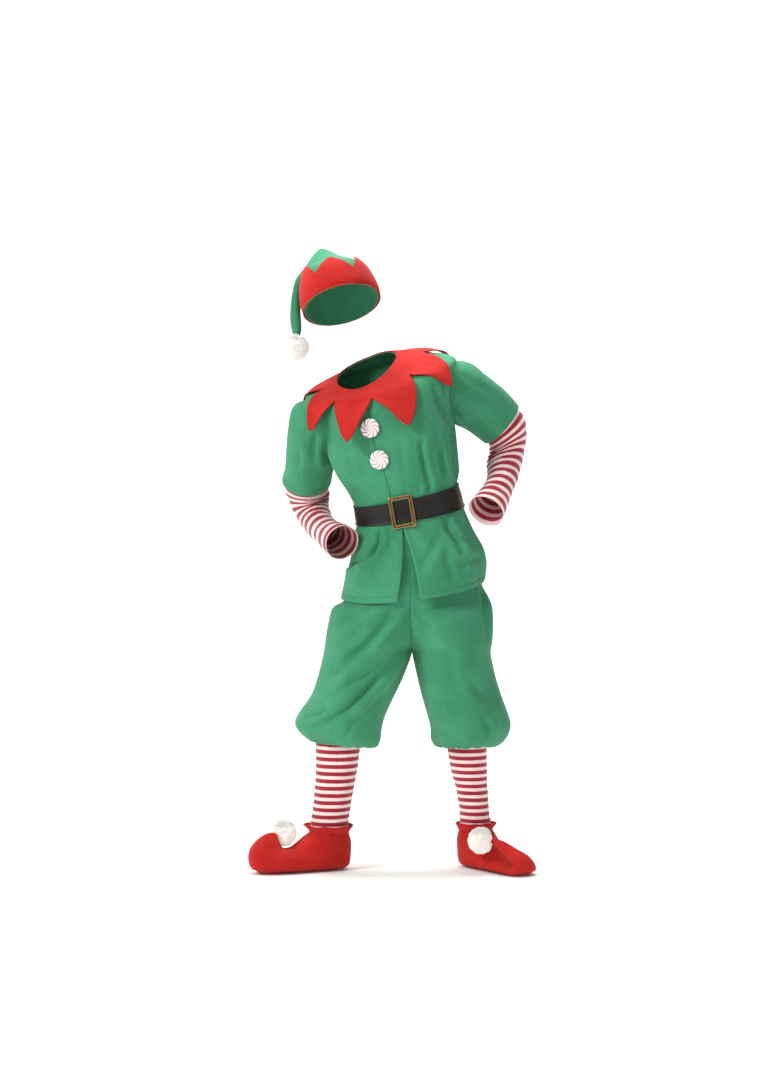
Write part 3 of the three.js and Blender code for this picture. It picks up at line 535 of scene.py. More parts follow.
def agedBrass(name):
    material, nodes, links, shader = newMaterial(name, 0.4, 0.0, 1.0, 0.5)
    where = nodes.new("ShaderNodeTexCoord")
    spotty = noiseTone(nodes, links, where.outputs["Object"], 160, 6, 0.7)
    geometry = nodes.new("ShaderNodeNewGeometry")
    # lighter brass on the sharp ridges: rubbed wear, and a painted highlight along the ridge tops
    ridgeWearAndPaintedHighlight = spread(nodes, links, geometry.outputs["Pointiness"], 0.5, 0.56)
    tone = mixTone(nodes, links, spread(nodes, links, spotty, 0.35, 0.65), srgb(72, 54, 34), srgb(132, 104, 66))
    links.new(mixTone(nodes, links, ridgeWearAndPaintedHighlight, tone, srgb(196, 164, 112)), shader.inputs["Base Color"])
    links.new(spread(nodes, links, spotty, 0.3, 0.7, 0.3, 0.55), shader.inputs["Roughness"])
    addBump(nodes, links, shader, spotty, 0.2, 0.0003)
    return material


def mintSwirl(name):
    # curved rays from the middle of the disc; the UV map is centred on it, in metres
    material, nodes, links, shader = newMaterial(name, 0.22, 0.0, 0.0, 0.5)
    shader.inputs["Coat Weight"].default_value = 0.5
    shader.inputs["Coat Roughness"].default_value = 0.12
    where = nodes.new("ShaderNodeTexCoord")
    parts = nodes.new("ShaderNodeSeparateXYZ")
    links.new(where.outputs["UV"], parts.inputs[0])
    u, v = parts.outputs[0], parts.outputs[1]
    radius = calc(nodes, links, "SQRT", calc(nodes, links, "ADD", calc(nodes, links, "MULTIPLY", u, u),
                                             calc(nodes, links, "MULTIPLY", v, v)))
    angle = calc(nodes, links, "DIVIDE", calc(nodes, links, "ARCTAN2", v, u), 2 * math.pi)
    twist = calc(nodes, links, "MULTIPLY_ADD", radius, 9.5, angle)
    part = calc(nodes, links, "FRACT", calc(nodes, links, "MULTIPLY_ADD", twist, 9, 20))
    away = calc(nodes, links, "ABSOLUTE", calc(nodes, links, "SUBTRACT", part, 0.5))
    ray = spread(nodes, links, away, 0.07, 0.15, 1.0, 0.0)
    shade = noiseTone(nodes, links, where.outputs["Object"], 90)
    white = mixTone(nodes, links, shade, srgb(236, 222, 222), srgb(255, 252, 250))
    red = mixTone(nodes, links, shade, srgb(150, 40, 58), srgb(190, 70, 84))
    links.new(mixTone(nodes, links, ray, white, red), shader.inputs["Base Color"])
    addBump(nodes, links, shader, ray, 0.3, 0.0004)
    return material


def glowingWhitePlush(name):
    # white plush with a faint painted glow, which brightens the shaded yarn
    material, nodes, links, shader = newMaterial(name, 0.9, 0.5)
    where = nodes.new("ShaderNodeTexCoord")
    cloudy = noiseTone(nodes, links, where.outputs["Object"], 120, 3)
    plushWithPaintedGlow = mixTone(nodes, links, cloudy, srgb(250, 244, 238), srgb(255, 254, 250))
    links.new(plushWithPaintedGlow, shader.inputs["Base Color"])
    links.new(plushWithPaintedGlow, shader.inputs["Emission Color"])  # painted glow: emission in place of the light the fine yarn ends bounce on to each other
    shader.inputs["Emission Strength"].default_value = 0.22
    return material


greenCotton = wovenCloth("greenCotton", srgb(42, 121, 82), srgb(74, 158, 117), sheen=0.08)
redFelt = feltCloth("redFelt", srgb(160, 18, 14), srgb(204, 36, 28), sheen=0.08)
sleeveKnit = stripedKnit("sleeveKnit", 0.0168, 0.54)
stockingKnit = stripedKnit("stockingKnit", 0.0153, 0.55)
beltLeather = softLeather("beltLeather")
buckleBrass = agedBrass("buckleBrass")
mintDisc = mintSwirl("mintDisc")
glowingPlush = glowingWhitePlush("glowingPlush")
greenThread = feltCloth("greenThread", srgb(40, 108, 74), srgb(62, 140, 100), 0.7, 0.1)
redThread = feltCloth("redThread", srgb(124, 18, 18), srgb(160, 32, 28), 0.7, 0.1)
print("materials ready")


# --- tunic ---

tunic = {
    "thick": 1.4, "slitTop": 3.7, "slitRight": -2.5, "slitLeft": 13, "hemBand": 13, "hemRise": 0.55, "rolled": 2.6,
    "creaseGain": 1.5, "gatherGain": 1.3, "ripples": ((48, 120, 1.9, 0), (17, 36, 0.5, 5)),
    "rings": [
        (48, 2, 591, 152, 122, 8, 11, -9, 2.2, 0, 0, -3),
        (52, 2, 627, 149, 118, 7, 10, -9, 2.2, 0, 0, -3),
        (53, 1, 665, 140, 107, 6, 9, -9, 2.2, 0, 0, -3),
        (48, 0, 705, 126, 91, 7, 9, -9, 2.2, 0, 0, -2.5),
        (42, 0, 743, 113.5, 86, 10, 9, -9, 2.2, 0, 0, -3),
        (38, 0, 765, 111.5, 85.5, 11.5, 9, -9, 2.2, 0, 0, -5.5),
        (33, 0, 787, 110.5, 86, 12.5, 9, -9, 2.2, 0, 0, -8),
        (29, 0, 812, 118, 88.5, 12, 8, -10, 2.2, 0, 0, -7),
        (20, 0, 841, 126, 93, 12, 7, -11, 2.3, 0, 0, -5),
        (9, 0, 878, 133, 96, 11, 6, -12, 2.4, 0, 0, -4.2),
        (-2, 0, 920, 139, 98, 11, 6, -12, 2.5, 0, 0, -3.8),
        (-13, 0, 966, 147, 98, 12, 8, -12, 2.5, 6, 0, -3.4),
        (-19, 0, 1008, 159, 93, 14, 10, -12, 2.4, 16, 0, -3),
        (-22, 0, 1038, 163, 86, 15.5, 12, -11, 2.3, 27, 0, -2.5),
        (-29, 0, 1045, 135, 79, 18, 14, -10, 2.2, 29, 0, -2),
        (-40, 0, 1055, 92, 69, 22, 16, -9, 2.1, 33, 0, -1),
        (-49, 0, 1058, 67, 60, 24, 17, -8, 2, 31, 0, 0),
    ],
    "folds": [
        (46, 40, 6.2, 11.5, 5, 13), (68, 62, 6.2, 10.8, 4, 12), (-52, -62, 6.2, 10.5, 4, 14),
        (150, 144, 6.2, 11, 5, 14), (196, 200, 6.2, 11.4, 5, 14), (236, 232, 6.2, 10.6, 4, 13),
        (-42, -30, 0, 3.8, 6, 13), (62, 48, 0, 3.8, 7, 13), (92, 80, 0, 3.8, 6, 13),
        (150, 156, 0, 3.8, 7, 15), (206, 200, 0, 3.8, 7, 15),
    ],
    # gathers that the belt makes: turn, depth, half width in degrees, how far they run
    "gathersUp": [
        (-63, 3.2, 4.5, 1.7), (-47, 1.6, 3, 1.1), (-34, 2.2, 3.5, 1.3), (-21, 2.6, 3.5, 1.6), (-6, 1.2, 3, 0.9),
        (13, 1.8, 3, 1.2), (27, 2.0, 3.5, 1.5), (39, 3.6, 5, 2.9), (56, 3.4, 4.5, 2.6), (71, 3.0, 4.5, 2.2),
        (86, 2.4, 4, 1.6), (101, 3.0, 4.5, 2.3), (118, 2.2, 4, 1.5), (133, 3.4, 5, 2.6), (149, 2.0, 3.5, 1.4),
        (163, 3.0, 4.5, 2.2), (180, 2.2, 4, 1.6), (195, 3.2, 4.5, 2.5), (211, 2.2, 3.5, 1.5), (226, 3.2, 5, 2.3),
        (243, 2.4, 4, 1.8), (258, 3.0, 4.5, 2.1), (276, 2.4, 4, 1.7), (288, 1.8, 3.5, 1.3),
    ],
    "gathersDown": [
        (-70, 3.0, 5, 1.9), (-52, 2.0, 4, 1.3), (-25, 1.8, 3.5, 1.2), (24, 1.6, 3.5, 1.1), (48, 3.4, 5, 2.2),
        (66, 2.6, 4, 1.6), (84, 3.4, 5, 2.1), (103, 2.4, 4, 1.5), (122, 3.4, 5.5, 2.4), (142, 2.2, 4, 1.5),
        (160, 3.4, 5.5, 2.3), (181, 2.4, 4, 1.7), (200, 3.6, 5.5, 2.5), (219, 2.2, 4, 1.5), (238, 3.2, 5, 2.2),
        (257, 2.4, 4, 1.6), (274, 3.0, 5, 2.0),
    ],
    "creases": [
        crease([(66, 905), (64, 876), (72, 835), (84, 790)], 6, 9, 0.7),
        crease([(104, 885), (106, 856), (113, 830), (118, 800)], 5.5, 7.5, 0.7),
        crease([(124, 930), (134, 880), (136, 815)], 4.5, 8, 0.5),
        crease([(-148, 870), (-131, 822), (-116, 792)], 4, 12, 0.5),
        crease([(-96, 905), (-84, 860), (-72, 812)], 2.2, 12, 0.5),
        crease([(20, 905), (26, 862), (30, 815)], 1.6, 12, 0.4),
        crease([(88, 1010), (102, 980), (112, 950), (122, 920)], 5, 10, 0.5),
        crease([(70, 990), (40, 960), (10, 948)], 1.8, 16, 0.4),
        crease([(-24, 726), (-19, 688), (-34, 664), (-64, 648), (-98, 634)], 7.5, 9, 0.75),
        crease([(-70, 668), (-92, 650), (-106, 622)], 2.5, 12, 0.4),
        crease([(-60, 630), (-52, 606), (-50, 588)], 2.2, 14, 0.5),
        crease([(112, 745), (120, 712), (138, 692), (160, 686)], 6.5, 10, 0.55),
        crease([(108, 716), (94, 680), (72, 648), (60, 622)], 3.6, 15, 0.6),
        crease([(136, 694), (150, 664), (168, 648)], 4.5, 10, 0.6),
        crease([(110, 690), (121, 640), (133, 600)], 4, 14, 0.55),
        crease([(128, 632), (158, 641), (190, 658)], 3, 12, 0.5),
        crease([(40, 716), (52, 684), (66, 660)], 1.6, 12, 0.5),
        crease([(-110, 905), (-60, 878), (-10, 866), (50, 880)], 3.2, 18, 0.5, backSide),
        crease([(-96, 860), (-40, 832), (30, 826), (90, 846)], 3.4, 16, 0.5, backSide),
        crease([(-60, 980), (-34, 940), (-22, 900)], 3, 15, 0.4, backSide),
        crease([(60, 1000), (44, 950), (40, 905)], 3, 15, 0.4, backSide),
        crease([(0, 732), (8, 690), (0, 640), (6, 600)], 5, 13, 0.6, backSide),
        crease([(84, 730), (92, 690), (90, 650), (98, 606)], 4.5, 12, 0.6, backSide),
        crease([(-52, 728), (-62, 690), (-56, 640), (-68, 604)], 4.5, 13, 0.6, backSide),
        crease([(140, 720), (148, 676), (152, 640)], 3.5, 11, 0.5, backSide),
    ],
}
tunicForm = ringForm(tunic["rings"], tunic["folds"])
tunicLengths = [0.0]
for k in range(160):
    tunicLengths.append(tunicLengths[-1] + (tunicForm(0, (k + 1) / 10) - tunicForm(0, k / 10)).length)


def tunicRun(place):  # millimetres from the hem, up the centre front
    k = min(max(place * 10, 0), 159.999)
    i = int(k)
    return tunicLengths[i] + (tunicLengths[i + 1] - tunicLengths[i]) * (k - i)


def slitEdge(turn, place):
    return turn * (1 - place / tunic["slitTop"]) if place < tunic["slitTop"] else 0.0


def beltGathers(turn, place):
    total = 0.0
    for rows, edge, way in ((tunic["gathersUp"], 6.12, 1), (tunic["gathersDown"], 3.88, -1)):
        gone = (place - edge) * way
        if gone <= 0:
            continue
        for at, depth, half, reach in rows:
            if gone < reach:
                f = gone / reach
                off = around(turn, at)
                rising = min(gone / 0.14, 1)
                total -= depth * rising * (1 - f) ** 1.3 * bump(off / (half * (1 + 0.7 * f)))
                total += 0.45 * depth * rising * (1 - f) * bump((off - half * 1.5) / half)
    return total * tunic["gatherGain"]


def tunicDetail(low, high):
    # low and high give the turn of the panel's two edges at a place
    def detail(p, turn, place):
        side = frontSide if (turn + 90) % 360 < 180 else backSide
        push = tunic["creaseGain"] * creasePush(tunic["creases"], p.x, p.z, side) + beltGathers(turn, place)
        push += ripple(p, tunic["ripples"])
        push *= 1 - bump(max(abs(place - 5) - 1, 0) / 0.5)  # the belt holds it flat
        seam = min(abs(turn - low(place)), abs(turn - high(place))) * 2.1
        if seam < tunic["rolled"]:
            push -= 1.1 * bump(seam / tunic["rolled"])
        return push + hemPush(tunicRun(place), tunic["hemBand"], tunic["hemRise"])
    return detail


def tunicPanel(low, high, columns):
    along = spots(0, 16, 116, 0.55, 0, 9)
    shares = spots(0, 1, columns, 0.035, 0.035, 3)

    def onPanel(share, place):
        a, b = low(place), high(place)
        return tunicForm(a + (b - a) * share, place)

    onPanel.centre = tunicForm.centre
    inner = tunicDetail(low, high)

    def detail(p, share, place):
        a, b = low(place), high(place)
        return inner(p, a + (b - a) * share, place)

    return layCloth(onPanel, shares, along, abs(high(8) - low(8)) * 2.05, detail)


panelEdges = {
    "tunicFrontLeft": (lambda place: slitEdge(tunic["slitLeft"], place), lambda place: 90.0, 46),
    "tunicBack": (lambda place: 90.0, lambda place: 270.0, 84),
    "tunicFrontRight": (lambda place: 270.0, lambda place: 360 + slitEdge(tunic["slitRight"], place), 46),
}
tunicShapes = {name: tunicPanel(*edges) for name, edges in panelEdges.items()}
print("tunic laid")


# --- green sleeves ---

sleeves = {
    "thick": 1.4, "hemBand": 14, "hemRise": 0.5, "creaseGain": 1.5, "lined": 1.3,
    "ripples": ((40, 60, 1.6, 0), (14, 22, 0.4, 0)),
    "rightRings": [
        (-84, 0, 958, 49, 47, -80, 0, 0, 2), (-143, 4, 936, 56, 56, -71, 8, 0, 2),
        (-165, 14, 921, 66, 61, -60, 20, 0, 2),
        (-168, 28, 897, 60, 58, -48, 30, 0, 2), (-170, 46, 873, 55, 56, -32, 36, 0, 2),
        (-172, 64, 845, 51.5, 54, -14, 38, 0, 2), (-179, 80, 818, 51.5, 53, -4, 40, 0, 2),
    ],
    "leftRings": [
        (70, 0, 1016, 55, 55, 97, 0, 0, 2), (117, 2, 1008, 61, 60, 89, 4, 0, 2), (151, 8, 999, 67, 61, 80, 8, 0, 2),
        (180, 16, 982, 62, 58, 72, 12, 0, 2), (208, 26, 963, 58, 55, 63, 14, 0, 2),
        (236, 36, 937, 53.5, 53, 51, 15, 0, 2),
    ],
    "rightCreases": [
        crease([(-150, 925), (-160, 880), (-158, 838)], 3.2, 11, 0.5),
        crease([(-196, 900), (-190, 862), (-196, 828)], 2.2, 12, 0.5),
        crease([(-128, 915), (-138, 872), (-140, 846)], 4, 9, 0.5),
        crease([(-200, 905), (-196, 860), (-186, 822)], 3, 13, 0.5, backSide),
        crease([(-160, 940), (-168, 890), (-162, 850)], 3.2, 13, 0.5, backSide),
    ],
    "leftCreases": [
        crease([(128, 962), (150, 938), (178, 918)], 3.8, 9, 0.6),
        crease([(150, 972), (182, 940), (206, 916)], 2.6, 10, 0.5),
        crease([(140, 1040), (180, 1016), (222, 990)], 2, 11, 0.5),
        crease([(120, 948), (140, 926), (160, 918)], 3.5, 8, 0.5),
        crease([(130, 1030), (170, 1000), (206, 968)], 3, 13, 0.5, backSide),
        crease([(134, 972), (166, 950), (196, 930)], 3.5, 11, 0.5, backSide),
    ],
}


def sleeveCloth(rings, creases, seed, seamTurn):
    form = ringForm(rings)
    last = form.last
    lastRun = (form(90, last) - form(90, last - 1)).length

    def detail(p, turn, place):
        side = frontSide if (turn + 90) % 360 < 180 else backSide
        push = sleeves["creaseGain"] * creasePush(creases, p.x, p.z, side)
        push += ripple(p, sleeves["ripples"], seed)
        free = clamp((last - sleeves["lined"] - place) / 0.7)
        push = max(push, -1.4 - 9 * free)  # the knit sleeve lies close under the hem
        push += hemPush((last - place) * lastRun, sleeves["hemBand"], sleeves["hemRise"])
        return push - 1.1 * bump(around(turn, seamTurn) / 3.2)

    return form, layCloth(form, spots(0, 360, 96), spots(0, last, 50, 0, 0.7, 9), 345, detail, closed=True)


rightSleeveForm, rightSleeve = sleeveCloth(sleeves["rightRings"], sleeves["rightCreases"], 2, 90)
leftSleeveForm, leftSleeve = sleeveCloth(sleeves["leftRings"], sleeves["leftCreases"], 4, 270)


def shutTree(shape):  # the form with its open ends filled, to tell inside from outside
    whole = shape.copy()
    ends = bmesh.ops.holes_fill(whole, edges=[e for e in whole.edges if e.is_boundary], sides=0)["faces"]
    bmesh.ops.triangulate(whole, faces=ends)
    bmesh.ops.recalc_face_normals(whole, faces=whole.faces[:])
    tree = surfaceOf(whole)
    whole.free()
    return tree


body = layCloth(tunicForm, spots(0, 360, 72), spots(0, 16, 48), 800, None, closed=True)
bodyTree = shutTree(body)
body.free()
rightTree, leftTree = shutTree(rightSleeve), shutTree(leftSleeve)
for shape in (rightSleeve, leftSleeve):
    dropInside(shape, bodyTree, 9)
for shape in tunicShapes.values():
    for tree in (rightTree, leftTree):
        dropInside(shape, tree, 9)
clothTree = surfaceOf(*tunicShapes.values(), rightSleeve, leftSleeve)

hemLine = [tunicForm(turn, 0.36) for turn in range(14, 357, 3)]
slitLines = [
    [tunicForm(slitEdge(turn, place / 20) + (2.6 if turn > 0 else -2.6), place / 20) for place in range(8, 72, 2)]
    for turn in (tunic["slitLeft"], tunic["slitRight"])
]
tunicStitchLines = [onSurface(clothTree, line) for line in [hemLine, *slitLines]]
for form in (rightSleeveForm, leftSleeveForm):
    ring = [form(turn, form.last - 0.42) for turn in range(0, 364, 4)]
    tunicStitchLines.append(onSurface(clothTree, ring))

tunicNodes = {
    "tunicFrontLeft": "tunic_front_left", "tunicBack": "tunic_back", "tunicFrontRight": "tunic_front_right",
}
for name, shape in tunicShapes.items():
    piece = toPiece(name, shape, greenCotton, [tunicNodes[name]], tunic["thick"])
for name, shape, node in (("sleeveRight", rightSleeve, "sleeve_right"), ("sleeveLeft", leftSleeve, "sleeve_left")):
    piece = toPiece(name, shape, greenCotton, [node], sleeves["thick"])
stitches("greenSewing", tunicStitchLines, greenThread)
print("green sleeves and sewing done")


# --- striped sleeves ---

def slimmer(rows, place, step=3.35):  # the knit's first ring, inside the green sleeve
    row = [blend(fullRows(rows, 12), place, i) for i in range(12)]
    row[3] -= step
    row[4] -= step
    return tuple(row)


knitSleeves = {
    "thick": 1.2, "bend": 0.22, "twist": 130, "ridge": 0.6, "ripples": ((24, 24, 0.9, 0),),
    "right": [
        slimmer(sleeves["rightRings"], 4.8),
        (-178, 80, 817, 46.5, 46, -4, 38, 0, 2), (-177, 97, 794, 47, 46, -1, 24, 0, 2),
        (-172, 103, 771, 42, 43, 8, 4, 0, 2), (-166, 96, 750, 36.5, 40, 20, -20, 0, 2),
        (-157, 76, 733, 33.5, 37, 28, -40, 0, 2), (-146, 44, 719, 32, 35, 34, -52, 0, 2),
        (-131, 8, 706, 32, 34, 42, -56, 0, 2), (-115, -30, 696, 34, 35, 50, -57, 0, 2),
        (-99, -67, 686, 37, 37, 57, -57, 0, 2),
    ],
    "left": [
        slimmer(sleeves["leftRings"], 4.2),
        (234, 38, 939, 46.5, 46, 49, 14, 0, 2), (247, 48, 924, 48.5, 47, 42, 12, 0, 2),
        (251, 58, 902, 47, 46, 32, 6, 0, 2), (249, 60, 880, 43.5, 43, 22, -8, 0, 2),
        (245, 52, 858, 39.5, 40, 14, -22, 0, 2), (241, 36, 837, 35.5, 37, 7, -34, 0, 2),
        (234, 14, 814, 32, 35, -3, -40, 0, 2), (223, -10, 791, 32.5, 34, -14, -42, 0, 2),
        (210, -34, 769, 35.5, 36, -24, -42, 0, 2), (199, -52, 751, 38, 38, -32, -42, 0, 2),
    ],
    # rolls of slack knit: place, middle turn, how far round, depth, half width in places
    "rightRolls": [
        (1.7, 60, 70, 3.2, 0.26), (2.3, 40, 95, 4.4, 0.24), (2.9, 62, 85, 4.2, 0.22), (3.5, 45, 90, 3.6, 0.24),
        (4.3, 70, 80, 2.6, 0.25), (5.2, 10, 100, 2.2, 0.3), (6.1, 200, 90, 2.0, 0.3), (7.0, 300, 100, 2.2, 0.28),
        (2.6, 230, 60, 2.0, 0.3), (7.9, 100, 110, 2.0, 0.25),
    ],
    "leftRolls": [
        (2.2, 282, 70, 3.0, 0.26), (2.9, 300, 90, 4.2, 0.24), (3.5, 275, 85, 4.4, 0.22), (4.1, 305, 95, 4.4, 0.22),
        (4.7, 285, 85, 3.4, 0.24), (5.5, 320, 90, 2.6, 0.26), (6.4, 60, 100, 2.2, 0.3), (7.4, 200, 90, 2.0, 0.3),
        (8.3, 330, 100, 2.2, 0.28), (3.3, 110, 60, 2.0, 0.3),
    ],
}


def knitSleeve(rings, rolls, seed):
    form = ringForm(rings)
    last = form.last

    def detail(p, turn, place):
        push = ripple(p, knitSleeves["ripples"], seed)
        push += rollPush(rolls, turn, place, knitSleeves["bend"], knitSleeves["twist"], knitSleeves["ridge"])
        edge = last - place
        push += 0.5 * bump(edge / 0.16)
        push -= 0.6 * bump((edge - 0.26) / 0.1)
        return push * min(place / 0.9, 1)

    return layCloth(form, spots(0, 360, 72), spots(0, last, 110, 0, 0.35, 8), 250, detail, True, 0.35)


for name, rings, rolls, node, seed in (
    ("stripedSleeveRight", "right", "rightRolls", "striped_sleeve_right", 11),
    ("stripedSleeveLeft", "left", "leftRolls", "striped_sleeve_left", 17),
):
    shape = knitSleeve(knitSleeves[rings], knitSleeves[rolls], seed)
    piece = toPiece(name, shape, sleeveKnit, [node], knitSleeves["thick"])
print("striped sleeves done")


# --- collar ---

collar = {
    "thick": 2.2, "gap": 0.8, "drop": 11, "reach": 60, "valley": 0.4, "point": 0.9, "rows": 30, "petalColumns": 22,
    "settle": 14, "stitchIn": 4.2, "stitchAtNeck": 0.13,
    "rings": [
        (-49, 0, 1059, 67, 60, 24, 17, -8, 2, 31, 0), (-40, -3, 1063, 104, 86, 21, 16, -6, 2.2, 49, 4),
        (-31, -6, 1061, 144, 109, 19, 15, -3, 2.4, 70, 30), (-23, -9, 1042, 174, 127, 18, 15, -1, 2.5, 100, 76),
    ],
    # reach of each petal's tip and its lean in degrees, going round from the centre front
    "petals": [(1.04, -9), (1.02, -10), (1, -6), (1, 0), (1, 0), (1, 4), (1.08, 5), (1.02, 1)],
}
collarForm = ringForm(collar["rings"])


def petalAt(turn):
    place = (turn * len(collar["petals"]) / 360) % len(collar["petals"])
    tip, lean = collar["petals"][int(place) % len(collar["petals"])]
    point = max(1 - abs(2 * (place % 1) - 1), 0) ** collar["point"]
    return collar["valley"] + (tip - collar["valley"]) * point, lean * point ** 0.85


def collarSpot(turn, level):
    reach, lean = petalAt(turn)
    return turn + lean * level, level * reach * 3


def collarNormal(turn, level):
    a, b = collarSpot(turn, level)
    across = collarForm(a + 0.5, b) - collarForm(a - 0.5, b)
    along = collarForm(a, b + 0.03) - collarForm(a, b - 0.03)
    out = along.cross(across).normalized()
    inside = collarForm.centre(b) - Vector((0, 0, 80))
    return out if out.dot(collarForm(a, b) - inside) > 0 else -out


def collarCloth():
    columns = len(collar["petals"]) * collar["petalColumns"]
    rows = collar["rows"]
    turns = [360 * i / columns for i in range(columns)]
    points = [[collarForm(*collarSpot(turn, j / rows)) for turn in turns] for j in range(rows + 1)]
    normals = [[collarNormal(turn, j / rows) for turn in turns] for j in range(rows + 1)]
    lifts = []
    for j in range(rows + 1):
        line = []
        for p, n in zip(points[j], normals[j]):
            hit, _, _, gap = clothTree.ray_cast(p + n * collar["reach"], -n, collar["reach"] + 45)
            line.append(max(collar["reach"] - gap + collar["gap"], -collar["drop"]) if hit else None)
        lifts.append(line)
    for j in range(rows + 1):  # past the cloth's edge the felt goes on as it lay before
        for i in range(columns):
            if lifts[j][i] is None:
                lifts[j][i] = lifts[j - 1][i] if j else 0.0
    for _ in range(collar["settle"]):
        before = [line[:] for line in lifts]
        for j in range(1, rows + 1):
            for i in range(columns):
                beside = before[j][i - 1] + before[j][(i + 1) % columns]
                lifts[j][i] = max(before[j][i], (beside + before[j - 1][i] + before[min(j + 1, rows)][i]) / 4)
    cloth = bmesh.new()
    bmesh.ops.create_grid(cloth, x_segments=columns, y_segments=rows, size=0.5)
    uvMap = cloth.loops.layers.uv.new("cloth")
    places = {
        v.index: (round((v.co.x + 0.5) * columns), round((v.co.y + 0.5) * rows)) for v in cloth.verts
    }
    for face in cloth.faces:
        for loop in face.loops:
            i, j = places[loop.vert.index]
            loop[uvMap].uv = (i / columns * 0.7, j / rows * 0.12)
    for v in cloth.verts:
        i, j = places[v.index]
        i %= columns
        tipLift = 2.2 * (j / rows) ** 3 * (1 + 0.7 * noise.noise(Vector((i / 9, 0, 3))))
        v.co = points[j][i] + normals[j][i] * (lifts[j][i] + tipLift + 0.5 * noise.noise(Vector((i / 6, j / 5, 1))))
    cloth.normal_update()
    outward = sum(f.normal.dot(f.calc_center_median() - Vector((-40, 0, 900))) for f in cloth.faces)
    if outward < 0:
        bmesh.ops.reverse_faces(cloth, faces=cloth.faces[:])
    bmesh.ops.remove_doubles(cloth, verts=cloth.verts[:], dist=0.01)
    return cloth


collarShape = collarCloth()
collarTree = surfaceOf(collarShape)
edgeLine = []
for turn in range(0, 3604, 4):
    reach, _ = petalAt(turn / 10)
    level = 1 - collar["stitchIn"] / (reach * 118)
    edgeLine.append(collarForm(*collarSpot(turn / 10, level)) + collarNormal(turn / 10, level) * 8)
collarLines = [onSurface(collarTree, edgeLine)]
neckEdge = [collarForm(turn, collar["stitchAtNeck"]) + Vector((0, 0, 3)) for turn in range(0, 364, 4)]
collarLines.append(onSurface(collarTree, neckEdge))
collarLines = [[(spot + out * collar["thick"], out) for spot, out in line] for line in collarLines]
piece = toPiece("petalCollar", collarShape, redFelt, ["collar"], collar["thick"], 1.0)
stitches("collarSewing", collarLines, redThread)
print("collar done")


# --- belt, buckle and buttons ---

belt = {"low": 4.0, "high": 6.0, "thick": 2.6, "lift": 0.7, "stitchIn": 0.13, "ripples": ((26, 14, 0.45, 9),)}


def beltDetail(p, turn, place):
    rim = min(place - belt["low"], belt["high"] - place)
    return belt["lift"] + belt["thick"] + 0.45 * bump(rim / 0.12) + ripple(p, belt["ripples"])


beltWidth = spots(belt["low"], belt["high"], 18, 0.2, 0.2, 5)
beltShape = layCloth(tunicForm, spots(0, 360, 150), beltWidth, 700, beltDetail, closed=True)
beltTree = surfaceOf(beltShape)
beltLines = [
    onSurface(beltTree, [tunicForm(turn, place, 4) for turn in range(0, 363, 3)])
    for place in (belt["low"] + belt["stitchIn"], belt["high"] - belt["stitchIn"])
]
piece = toPiece("beltStrap", beltShape, beltLeather, ["belt_strap"], belt["thick"])
beltThread = feltCloth("beltThread", srgb(24, 20, 18), srgb(48, 42, 36), 0.6, 0.0)
stitches("beltSewing", beltLines, beltThread, 2.6, 3.9, 0.45)


def placedOn(form, rings, turn, place, lift):
    across = form(turn + 0.5, place) - form(turn - 0.5, place)
    along = form(turn, place + 0.03) - form(turn, place - 0.03)
    out = across.cross(along).normalized()
    if out.dot(form(turn, place) - form.centre(place)) < 0:
        out.negate()
    up = turnedBy(blend(rings, place, 5), blend(rings, place, 6)) @ Vector((0, 0, 1))
    x = up.cross(out).normalized()
    y = out.cross(x).normalized()
    turned = Matrix((x, y, out)).transposed().to_4x4()
    turned.translation = form(turn, place) + out * lift
    return turned


buckle = {
    "wide": 50, "tall": 66, "corner": 4.5, "turn": 5, "place": 5, "lift": 3.1, "clear": 0.4,
    # across the bar from its outer edge: how far in, and how high
    "profile": [
        (0, 0), (0, 3.1), (0.25, 3.6), (0.8, 3.95), (1.6, 4.0), (2.1, 3.8), (2.5, 3.2), (3.0, 2.9), (5.0, 2.9),
        (5.5, 3.2), (5.9, 3.8), (6.4, 4.0), (7.2, 3.95), (7.75, 3.6), (8, 3.1), (8, 0),
    ],
}


def buckleFrame():
    shape = bmesh.new()
    bmesh.ops.create_grid(shape, x_segments=1, y_segments=1, size=0.5)
    bmesh.ops.scale(shape, vec=(buckle["wide"], buckle["tall"], 1), verts=shape.verts[:])
    bmesh.ops.bevel(
        shape, geom=shape.verts[:], affect="VERTICES", offset=buckle["corner"], segments=6, profile=0.5, material=-1
    )
    bmesh.ops.delete(shape, geom=shape.faces[:], context="FACES_ONLY")
    outline = shape.edges[:]
    ring, was = outline, 0
    for inward, high in buckle["profile"]:
        grown = bmesh.ops.extrude_edge_only(shape, edges=ring)["geom"]
        moved = [g for g in grown if isinstance(g, bmesh.types.BMVert)]
        ring = [g for g in grown if isinstance(g, bmesh.types.BMEdge) and g.verts[0] in moved and g.verts[1] in moved]
        narrower = ((buckle[side] - 2 * inward) / (buckle[side] - 2 * was) for side in ("wide", "tall"))
        bmesh.ops.scale(shape, vec=(*narrower, 1), verts=moved)
        for v in moved:
            v.co.z = high
        was = inward
    bmesh.ops.bridge_loops(shape, edges=outline + ring)
    bmesh.ops.remove_doubles(shape, verts=shape.verts[:], dist=0.01)
    bmesh.ops.recalc_face_normals(shape, faces=shape.faces[:])
    bmesh.ops.transform(
        shape, verts=shape.verts[:],
        matrix=placedOn(tunicForm, tunic["rings"], buckle["turn"], buckle["place"], buckle["lift"] + buckle["clear"]),
    )
    return shape


toPiece("beltBuckle", buckleFrame(), buckleBrass, ["belt_buckle"])

mints = {
    "across": 39, "side": 3.8, "lift": 0.9, "Upper": (0, 10.45), "Lower": (0, 8.85),
    "steps": ((1.6, 0.7), (4, 0.35), (6, 0.12), (5, 0.03)),  # how far in and how far up, from the rim to the middle
}


